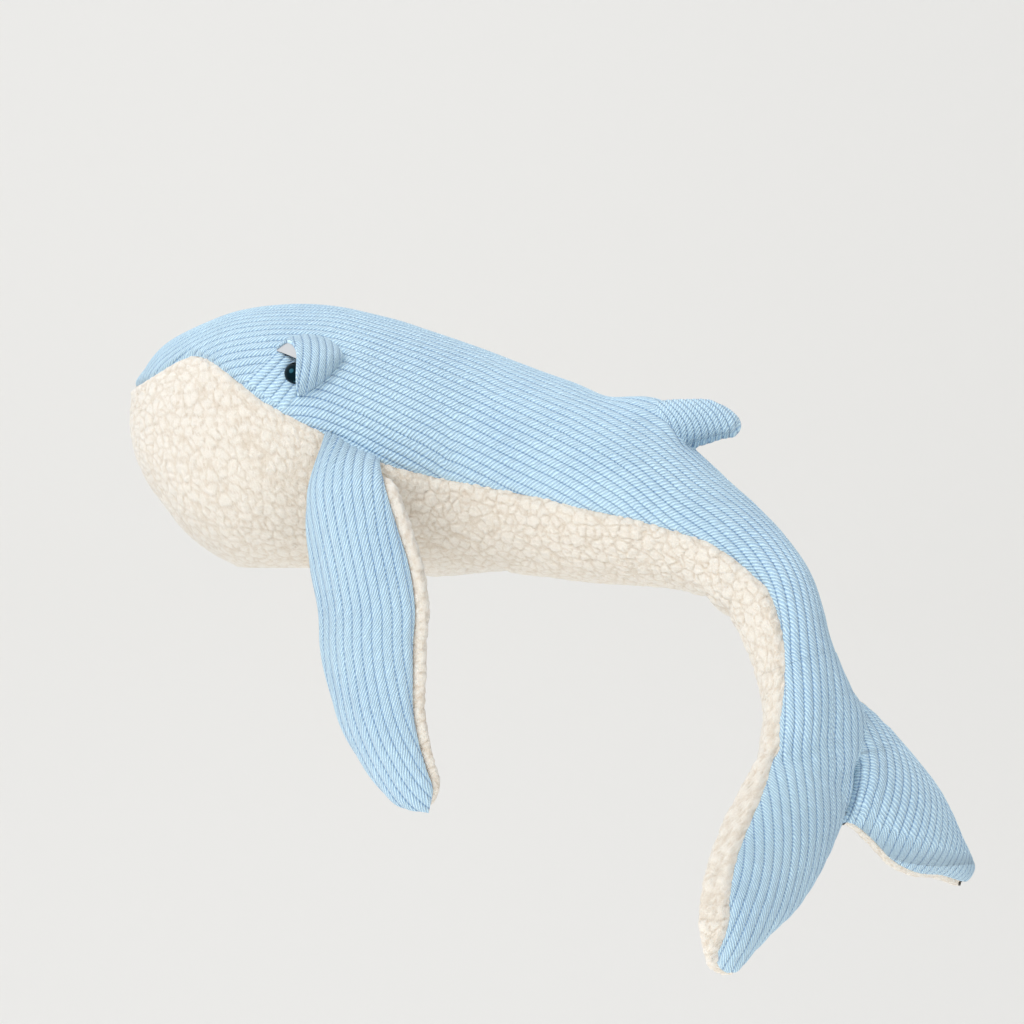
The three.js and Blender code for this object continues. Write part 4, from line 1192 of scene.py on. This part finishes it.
def beside_line(line, a, arc):
    """How far out from a line of the cloth each point is, and how far along the line."""
    shares = np.linspace(0, len(line) - 1, 500)
    points = row_at(np.array(line), shares)
    length = running(np.linalg.norm(np.diff(points, axis=0), axis=1))
    along = unit(np.gradient(points, axis=0))
    place = np.stack([a + 0 * arc, arc], -1)
    nearest = np.argmin(np.linalg.norm(place[..., None, :] - points, axis=-1), axis=-1)
    off = place - points[nearest]
    towards = along[nearest]
    out = off[..., 1] * towards[..., 0] - off[..., 0] * towards[..., 1]
    forward = (off * towards).sum(-1)
    return line[0][1] + out, length[nearest] + forward


def from_middle(grid):
    """How far off the tail's middle line the knit starts in each row, so that its outer edge runs on."""
    reach = grid.arc[:, grid.start + FORK_FINE]
    excess = np.interp(np.minimum(grid.rows, 0.008), grid.rows, reach - grid.outer)
    return (grid.outer + excess - reach)[:, None]


def knit_of_tail(grid, top, middle, end):
    """The knit's coordinates and slants: the stock and left lobe are one cloth, the right lobe another.

    Gives them for the first cloth, and for the other one with a mask of where that lies.
    """
    a = grid.rows[:, None]
    drawn = DRAWN_RIBS * RIB_PITCH
    start = LEFT_RIB_LINE[0][0] - grid.rows[0] - ROW_STEP
    across, along = beside_line(LEFT_RIB_LINE, a, middle + top.arc * grid.side)
    across = across + drawn * grid.side
    slant = LOBE_SLANT - np.interp(across, end[0], end[2])
    cloth = np.stack([across, along + start + np.interp(across, end[0], end[1])], -1)
    if grid.side > 0:
        return cloth, slant, None
    across, along = beside_line(RIGHT_RIB_LINE, a, from_middle(grid) + top.arc)
    beyond = (top.u > np.interp(a, *np.array(CREASE).T)) & (a > CREASE[0][0])
    other = np.stack([-drawn - across, along + start + np.interp(-drawn - across, end[0], end[1])], -1)
    return cloth, slant, (beyond, other)


def fork_half(grid, middle, end):
    """The knitted top and the pile underside of one half of the tail fin."""
    seam = seam_arc(grid)
    zero = np.zeros_like(seam)
    total = grid.arc[:, grid.end]
    lap = PILE_OVERLAP * smooth(grid.inner, 0, 0.003)
    top = by_arc(grid, zero, seam, FORK_COLUMNS)
    under = by_arc(grid, seam - np.minimum(PILE_OVERLAP, seam / 3), total + lap, FORK_COLUMNS)
    away = np.where(grid.together, 1.0, 0.0)[:, None]
    cloth, slant, beyond = knit_of_tail(grid, top, middle, end)
    across = cloth[..., 0] if beyond is None else np.where(beyond[0], beyond[1][..., 0], cloth[..., 0])
    to_seam = np.minimum(seam[:, None] - top.arc, top.arc + away)
    height = knit_height(top.points, across, to_seam)
    top_points = top.points + top.normals * height[..., None]
    to_seam = np.minimum(under.arc - seam[:, None], total[:, None] - under.arc + away)
    height, hollow = pile_height(under.points, to_seam)
    under_points = under.points + under.normals * height[..., None]
    knit = {"cloth": cloth, "trait": slant, "beyond": beyond}
    return SimpleNamespace(top=top_points, knit=knit, under=under_points, hollow=hollow)


def half_piece(name, points, normals, side, cloth=None, trait=0.0, beyond=None):
    """A piece of one half of the tail fin, with its columns turned so that it faces outward."""
    if side < 0:
        points, normals = points[:, ::-1], normals[:, ::-1]
        cloth = None if cloth is None else cloth[:, ::-1]
        trait = trait if np.ndim(trait) == 0 else trait[:, ::-1]
        beyond = None if beyond is None else [part[:, ::-1] for part in beyond]
    return grid_piece(name, points, normals, cloth, trait, beyond=beyond)


def joined_normals(left, right, together, column):
    """Normals of two halves' displaced grids, equal along the line where they meet."""
    normals = [grid_normals(left), -grid_normals(right)]
    mean = unit(normals[0][:, column] + normals[1][:, column])
    for one in normals:
        one[together, column] = mean[together]
    return normals


def make_fork(body):
    """The tail fin: two halves that meet along the tail's middle line."""
    left, right = fork_grid(1), fork_grid(-1)
    share_middle(left, right)
    middle = from_middle(left)
    halves = {"left": fork_half(left, middle, body.end), "right": fork_half(right, middle, body.end)}
    tops = joined_normals(halves["left"].top, halves["right"].top, left.together, 0)
    unders = joined_normals(halves["left"].under, halves["right"].under, left.together, -1)
    for name, side, over, below in zip(halves, (1, -1), tops, unders):
        half = halves[name]
        top = half_piece(f"knitted_top_of_{name}_lobe", half.top, over, side, **half.knit)
        under_name = f"pile_underside_of_{name}_lobe"
        under = half_piece(under_name, half.under, below, side, trait=half.hollow)
        soft(top, KNIT, [f"{name}_fluke_top", f"tail_lower_{name}_back", f"{name}_fluke_stuffing"])
        nodes = [f"{name}_fluke_underside", f"{name}_fluke_root"]
        nodes += ["tail_lower_belly"] if side > 0 else ["tail_lower_stuffing"]
        soft(under, PILE, nodes)
        for piece in (top, under):
            begin = fork_place(*map(np.array, FLUKE_BEND_START), np.array(0.0), side)
            end = fork_place(*map(np.array, FLUKE_BEND_END), np.array(0.0), side)
            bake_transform(piece)


# The side fins and the back fin


def fin_frames(pose):
    """A function that gives a side fin's sections, on its path from the sewn edge to the tip."""
    side, slopes, sweep, twist = pose
    table = np.array(FIN_STATION_SHARES)
    last = len(table) - 1
    seam = body_frame(np.array(FIN_STATION)).seam
    root = body_skin(np.array(FIN_STATION), side * seam)

    def towards(at):
        at = np.minimum(np.asarray(at, float), last)
        slope = np.radians(np.interp(at, np.arange(last + 1), slopes))
        turned = np.radians(sweep) * np.minimum(at / SWEPT_STATION, 1)
        level, down = np.sin(slope), -np.cos(slope)
        along = np.stack([level * np.sin(turned), -side * level * np.cos(turned), down], -1)
        aft = np.stack([np.cos(turned), side * np.sin(turned), 0 * turned], -1)
        return along, aft, np.cross(aft, along) * -side

    path = [root - towards(0)[0] * FIN_SUNK_SHARE * FIN_THICKNESS]
    for i in range(last):
        length = (table[i + 1, 0] - table[i, 0]) * FIN_LENGTH
        path.append(path[-1] + towards(i + 0.5)[0] * length)
    whole = np.concatenate([np.array(path), table[:, 1:]], 1)

    def frames(at):
        s = row_at(whole, at)
        along, aft, out = towards(at)
        turned = math.radians(twist)
        across = aft * math.cos(turned) + out * math.sin(turned)
        face = out * math.cos(turned) - aft * math.sin(turned)
        slant = np.radians(s[..., 6])
        slanted = mixed((across, np.cos(slant)), (along, np.sin(slant)))
        middle = s[..., :3] + across * (s[..., 3:4] * FIN_WIDTH)
        wide, thick = s[..., 4] * FIN_WIDTH / 2, s[..., 5] * FIN_THICKNESS / 2
        return SimpleNamespace(middle=middle, face=face, across=slanted * -side, wide=wide, thick=thick)

    return frames


def back_fin_frames():
    """A function that gives the back fin's sections, on its path off the middle of the back."""
    table = np.array(BACK_FIN_STATION_SHARES)
    place = np.array(BACK_FIN_STATION)
    root = body_skin(place, np.array(0.0))
    aft = unit(body_skin(place + 0.02, np.array(0.0)) - root)
    off = unit(body_skin(place, np.array(0.0), 0.001) - root)
    left = unit(np.cross(aft, off))

    def frames(at):
        s = row_at(table, at)
        rise = s[..., 1] * BACK_FIN_HEIGHT + BACK_FIN_LIFT
        middle = root + mixed((aft, s[..., 0] * BACK_FIN_SWEEP), (off, rise))
        slant = np.radians(s[..., 4])
        across = mixed((aft, np.cos(slant)), (off, np.sin(slant)))
        face = np.broadcast_to(left, across.shape)
        wide, thick = s[..., 2] * BACK_FIN_LENGTH / 2, s[..., 3] * BACK_FIN_THICKNESS / 2
        return SimpleNamespace(middle=middle, face=face, across=across, wide=wide, thick=thick)

    return frames


def limb_skin(frames):
    """The skin of a limb: flat ovals between a face and a lining."""
    def skin(at, turn):
        f = frames(at)
        c, s = np.cos(np.radians(turn)), np.sin(np.radians(turn))
        return f.middle + mixed((f.face, c * f.thick), (f.across, s * f.wide))
    return skin


def limb_swelling(skin, last, first_turn, last_turn):
    """Stations of a coarse grid of a limb, and how far the stuffing moves its points."""
    at, _ = even_stations(skin, 0.0, last, STUFFED_LIMB_STEP, (0, 90, 180, 270))
    at = at[at < last - 0.15]
    ones = np.ones(len(at))
    face, _ = even_turns(skin, at, first_turn * ones, last_turn * ones, STUFFED_LIMB_COLUMNS)
    lining, _ = even_turns(skin, at, last_turn * ones, (360 + first_turn) * ones, STUFFED_LIMB_COLUMNS)
    points = skin(at[:, None], np.concatenate([face[:, :-1], lining[:, :-1]], 1))
    beside = STUFFED_LIMB_COLUMNS + 1 if first_turn < -FIN_LINING_TURN else -1
    sewn = sewn_places(points, [0, STUFFED_LIMB_COLUMNS, beside])
    shift = stuffed_shift(points, sewn, STUFFED_LIMB_INSET, True)
    ends = smooth(at, 0, 2) * (1 - smooth(at, last - 3, last - 0.6))
    return at, shift * ends[:, None, None]


def limb_cover(skin, last, first_turn, last_turn, columns, swelling=None, is_face=True):
    """One cover of a limb: its points, and how far they are from its first edge and from its root."""
    at, length = even_stations(skin, 0.0, last, ROW_STEP, (0, 90, 180, 270))
    safe = np.minimum(at, last - 0.02)
    ones = np.ones(len(at))
    turns, width = even_turns(skin, safe, first_turn * ones, last_turn * ones, columns)
    points = skin(at[:, None], turns)
    if swelling is not None:
        points = swollen(points, at, swelling, STUFFED_LIMB_COLUMNS, is_face)
    arc = width[:, None] * np.linspace(0, 1, columns + 1)
    return SimpleNamespace(points=points, length=length[:, None] + 0 * arc, arc=arc)


def knit_cover(name, cover, cloth, slant):
    """A knitted cover with its ribs as the cloth's coordinates say."""
    to_seam = np.minimum(np.minimum(cover.arc, cover.arc[:, -1:] - cover.arc), cover.length)
    height = knit_height(cover.points, cloth[..., 0], to_seam)
    height = height + ROOT_ROLL * smooth(cover.length, 0, 0.004)
    points = cover.points + grid_normals(cover.points) * height[..., None]
    return grid_piece(name, points, grid_normals(points), cloth, slant)


def fin_cloth(cover):
    """Ribs along the fin."""
    return np.stack([cover.arc - cover.arc[:, -1:] / 2, cover.length * FIN_STRAND_SHARE], -1)


def back_fin_cloth(cover):
    """Ribs that run down across the fin in bows, as they come off the back."""
    x, z = cover.points[..., 0], cover.points[..., 2]
    bow = BACK_FIN_BOW * (z - BACK_FIN_BOW_HEIGHT) ** 2
    return np.stack([BACK_FIN_RIB_STRETCH * (x + bow), x - z], -1)


def pile_cover(name, cover):
    """A pile cover that laps over the edges of the knitted one."""
    to_seam = np.minimum(cover.arc, cover.arc[:, -1:] - cover.arc) - PILE_OVERLAP
    to_seam = np.minimum(to_seam, cover.length)
    height, hollow = pile_height(cover.points, to_seam)
    height = height + LINING_SWELL * smooth(to_seam, -0.001, 0.006)
    points = cover.points + grid_normals(cover.points) * height[..., None]
    return grid_piece(name, points, grid_normals(points), trait=hollow)


def sewn_to_body(cover, side, from_fore, bow):
    """Draws a fin's first rows to the line on the body that the cover is sewn along."""
    share = np.linspace(0, 1, cover.points.shape[1])
    fore, aft = FIN_ROOT_STATIONS
    at = fore + (aft - fore) * (share if from_fore else 1 - share)
    turn = side * (body_frame(at).seam - FIN_ROOT_TURN + bow * np.sin(math.pi * share) ** 0.8)
    line = body_skin(at, turn) - FIN_ROOT_DEPTH * skin_normal(at, turn)
    pull = 1 - smooth(cover.length[:, :1], 0, FIN_ROOT_REACH)
    cover.points = cover.points + (line - cover.points[0])[None] * pull[..., None]


def make_fins():
    """The two side fins, knitted outside and lined with pile, with their roots sewn to the body."""
    last = len(FIN_STATION_SHARES) - 1
    for name, pose in FIN_POSES.items():
        side = pose[0]
        frames = fin_frames(pose)
        skin = limb_skin(frames)
        turns = (-FIN_LINING_TURN, 90) if side > 0 else (-90, FIN_LINING_TURN)
        swelling = limb_swelling(skin, last, *turns)
        face = limb_cover(skin, last, *turns, LIMB_COLUMNS, swelling)
        lining_turns = (turns[1] - LINING_LAP_TURN, 360 + turns[0] + LINING_LAP_TURN)
        lining = limb_cover(skin, last, *lining_turns, LINING_COLUMNS, swelling, False)
        sewn_to_body(face, side, side < 0, 0)
        sewn_to_body(lining, side, side > 0, LINING_ROOT_BOW)
        outer = knit_cover(f"knitted_side_of_{name}_fin", face, fin_cloth(face), FIN_SLANT)
        inner = pile_cover(f"pile_lining_of_{name}_fin", lining)
        soft(outer, KNIT, [f"{name}_fin_outer", f"{name}_fin_stuffing"])
        soft(inner, PILE, [f"{name}_fin_lining", f"{name}_fin_root"])
        start, end = (tuple(frames(np.array(at)).middle) for at in (0.3, 1.9))
        for piece in (outer, inner):
            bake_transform(piece)


def make_back_fin():
    """The back fin, knitted on both sides."""
    frames = back_fin_frames()
    skin = limb_skin(frames)
    last = len(BACK_FIN_STATION_SHARES) - 1
    turns = [(-90, BACK_FIN_SEAM_TURN), (BACK_FIN_SEAM_TURN, 270)]
    near, far = (limb_cover(skin, last, *pair, LIMB_COLUMNS) for pair in turns)
    left = knit_cover("knitted_left_of_back_fin", near, back_fin_cloth(near), BACK_FIN_SLANT)
    right = knit_cover("knitted_right_of_back_fin", far, back_fin_cloth(far), BACK_FIN_SLANT)
    soft(left, KNIT, ["back_fin_left_side", "back_fin_stuffing"])
    soft(right, KNIT, ["back_fin_right_side", "back_fin_root"])
    start, end = (tuple(frames(np.array(at)).middle) for at in (0.8, 2.2))
    for piece in (left, right):
        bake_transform(piece)


# The eyes


def corner_mix(corners, u, v):
    """Station and turn between four corners."""
    a, b, c, d = (np.array(corner, float) for corner in corners)
    u, v = u[..., None], v[..., None]
    place = (1 - u) * ((1 - v) * a + v * b) + u * ((1 - v) * d + v * c)
    return place[..., 0], place[..., 1]


def pad_grid(corners, side, counts):
    """A grid of points and normals of the body's skin between four corners."""
    u, v = np.meshgrid(np.linspace(0, 1, counts[0]), np.linspace(0, 1, counts[1]), indexing="ij")
    at, turn = corner_mix(corners, u, v)
    turn = turn * side
    return u, v, body_skin(at, turn), skin_normal(at, turn)


def outward(points, side):
    """A grid's values, with its columns turned on the right side so that it faces out of the body."""
    return points if side > 0 else points[:, ::-1]


def make_patch(name, side):
    """The knitted patch let into the head below the eye, its ribs square to the belly seam."""
    u, v, points, normals = pad_grid(PATCH_CORNERS, side, (50, 40))
    edge = np.minimum(np.minimum(u, 1 - u), np.minimum(v, 1 - v))
    across, along = u * PATCH_LENGTHS[0], v * PATCH_LENGTHS[1]
    height = PATCH_RISE * smooth(edge, 0, 0.1) - PATCH_RISE * (1 - smooth(edge, 0, 0.05)) + ribs(across)
    points = outward(points + normals * height[..., None], side)
    cloth = outward(np.stack([across, along], -1), side)
    piece = grid_piece(f"{name}_eye_patch_knit", points, grid_normals(points), cloth, PATCH_SLANT)
    soft(piece, KNIT, [f"{name}_eye_patch"])
    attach(piece, "trunk")


def curve_at(table, share):
    """Points on the smooth curve through a table's rows, at shares of the way through them."""
    return row_at(np.array(table, float), share * (len(table) - 1))


def lid_cloth(at, turn):
    """The knit's coordinates on the eyelid: ribs that curve round behind the free edge."""
    off_station, off_turn = at - LID_MIDDLE[0], turn - LID_MIDDLE[1]
    across = LID_CLOTH_LENGTHS[0] * off_station + LID_BOW * off_turn**2
    return np.stack([across, -LID_CLOTH_LENGTHS[1] * off_turn], -1)


def make_lid(name, side):
    """The eyelid: a hood sewn on behind the eye, with a free front edge rolled round."""
    w, v = np.meshgrid(np.linspace(0, 1, 64), np.linspace(0, 1, 90), indexing="ij")
    free, sewn = curve_at(LID_FREE_EDGE, v), curve_at(LID_SEWN_EDGE, v)
    place = free[..., :2] + (sewn - free[..., :2]) * w[..., None]
    at, turn = place[..., 0], place[..., 1]
    lift = free[..., 2] * (1 - w**2.2) ** 0.75
    cloth = lid_cloth(at, turn)
    skin, normals = body_skin(at, turn * side), skin_normal(at, turn * side)
    hem = 1 - smooth(w, 0.96, 1)
    thick = LID_GAP + (LID_THICKNESS - 0.0006) * hem - 0.0015 * (1 - hem)
    height = lift + thick + ribs(cloth[..., 0]) * hem
    under = skin + normals * (lift + LID_GAP)[..., None]
    top = skin + normals * height[..., None]
    middle = (top[:1] + under[:1]) / 2
    reach = unit(top[:1] - top[2:3]) * LID_ROLL
    turns = np.linspace(-math.pi / 2, math.pi / 2, 9)[:-1, None, None]
    rim = middle + reach * np.cos(turns) + (top[:1] - under[:1]) / 2 * np.sin(turns)
    points = outward(np.concatenate([rim, top], 0), side)
    cloth = outward(np.concatenate([np.repeat(cloth[:1], 8, 0), cloth], 0), side)
    outer = grid_piece(f"{name}_eyelid_knit", points, grid_normals(points), cloth, LID_SLANT)
    soft(outer, KNIT, [f"{name}_eyelid"])
    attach(outer, "trunk")
    inside = outward(under[:-10], -side)
    make_lining(f"{name}_eyelid_lining", inside)
    make_lid_tab(name, side)


def make_lining(name, points):
    """A plain piece of the eyelid's lining."""
    lining = grid_piece(name, points, grid_normals(points))
    lining.data.materials.append(LINING)
    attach(lining, "trunk")


def make_lid_tab(name, side):
    """The turned-in corner of the eyelid's lining, between its free edge and the eye."""
    k, v = np.meshgrid(np.linspace(0, 1, 12), np.linspace(0, LID_TAB_SHARE, 30), indexing="ij")
    free = curve_at(LID_FREE_EDGE, v)
    first, last = np.array(LID_TAB_START), np.array(LID_TAB_END)
    line = first + (last - first) * (v / LID_TAB_SHARE)[..., None]
    place = free + (line - free) * k[..., None]
    at, turn, lift = place[..., 0], place[..., 1] * side, place[..., 2] + LID_TAB_LIFT
    points = outward(body_skin(at, turn) + skin_normal(at, turn) * lift[..., None], side)
    make_lining(f"{name}_eyelid_tab", points)


def make_eye(name, side):
    """A glossy dome on a thin flange, and the colour of the washer behind it."""
    at, turn = np.array(EYE_PLACE[0]), np.array(EYE_PLACE[1] * side)
    base = body_skin(at, turn, EYE_GAP)
    out = unit(body_skin(at, turn, 0.001) - body_skin(at, turn))
    first = unit(np.cross(out, np.array([0.0, 0.0, 1.0])))
    second = np.cross(out, first)
    r = EYE_DIAMETER / 2
    angles = np.linspace(0, math.pi / 2, 28)
    radius = np.concatenate([[0, r - EYE_ROUNDING, r], r * np.cos(angles)[1:]])
    level = np.concatenate([[0, 0, EYE_ROUNDING], EYE_FLANGE + EYE_HEIGHT * np.sin(angles)[1:]])
    round_ = np.linspace(0, 2 * math.pi, 64, endpoint=False)
    ring = mixed((first, np.cos(round_)), (second, np.sin(round_)))
    points = base + out * level[:, None, None] + ring[None] * radius[:, None, None]
    normals = grid_normals(points, closed=True)
    if normals[-3].mean(0) @ out < 0:
        points = points[:, ::-1]
        normals = grid_normals(points, closed=True)
    piece = grid_piece(f"{name}_eye_dome", points, normals, closed=True)
    piece.data.materials.append(EYE)
    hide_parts(f"{name}_eye")
    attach(piece, "trunk")
    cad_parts[f"{name}_eye_washer"].data.materials.clear()
    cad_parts[f"{name}_eye_washer"].data.materials.append(WASHER)


# Surroundings, light and camera


def make_backdrop():
    """A pale floor well below the whale that curves up into a wall."""
    line = [(FLOOR_FRONT, FLOOR_LEVEL)]
    for turn in np.linspace(0, math.pi / 2, 24):
        y = WALL_PLACE - WALL_RADIUS + WALL_RADIUS * math.sin(turn)
        line.append((y, FLOOR_LEVEL + WALL_RADIUS * (1 - math.cos(turn))))
    line.append((WALL_PLACE, WALL_TOP))
    ends = (-BACKDROP_HALF_WIDTH, BACKDROP_HALF_WIDTH)
    points = np.array([[(x, y, z) for x in ends] for y, z in line])
    piece = grid_piece("backdrop", points, grid_normals(points))
    piece.data.materials.append(plain_material("backdrop_paint", linear(232, 231, 228), 0.9))


def area_light(name, place, aim, size, power, colour):
    """A round soft light, aimed at a place."""
    data = bpy.data.lights.new(name, "AREA")
    data.shape = "DISK"
    data.size = size
    data.energy = power
    data.color = colour
    light = bpy.data.objects.new(name, data)
    light.location = place
    light.rotation_euler = (Vector(aim) - Vector(place)).to_track_quat("-Z", "Y").to_euler()
    bpy.context.scene.collection.objects.link(light)


def make_light():
    """A pale room, a large soft light from the left above, and a weak one from below."""
    world = bpy.data.worlds.new("room")
    world.use_nodes = True
    background = world.node_tree.nodes["Background"]
    background.inputs[0].default_value = (0.97, 0.98, 1.0, 1)
    background.inputs[1].default_value = 0.9
    bpy.context.scene.world = world
    area_light("key", (-1.3, -1.6, 1.8), (0.1, -0.1, 0), 1.4, 36, (1, 0.99, 0.98))
    area_light("bounce", (-0.05, -0.5, -1.25), (0, -0.1, 0), 1.0, 9, (1, 0.99, 0.97))


def make_camera():
    """The photograph's view, level and from straight in front."""
    data = bpy.data.cameras.new("camera")
    data.sensor_width = SENSOR_WIDTH
    data.lens = CAMERA_LENS
    camera = bpy.data.objects.new("camera", data)
    camera.location = CAMERA_PLACE
    camera.rotation_euler = (math.pi / 2, 0, 0)
    bpy.context.scene.collection.objects.link(camera)
    bpy.context.scene.camera = camera


SWELLING = body_swelling()
body = body_grid(ROW_STEP)
make_body(body)
make_fork(body)
make_fins()
make_back_fin()
for name, side in (("left", 1), ("right", -1)):
    make_patch(name, side)
    make_lid(name, side)
    make_eye(name, side)
make_backdrop()
make_light()
make_camera()
bpy.context.scene.view_settings.view_transform = "Standard"
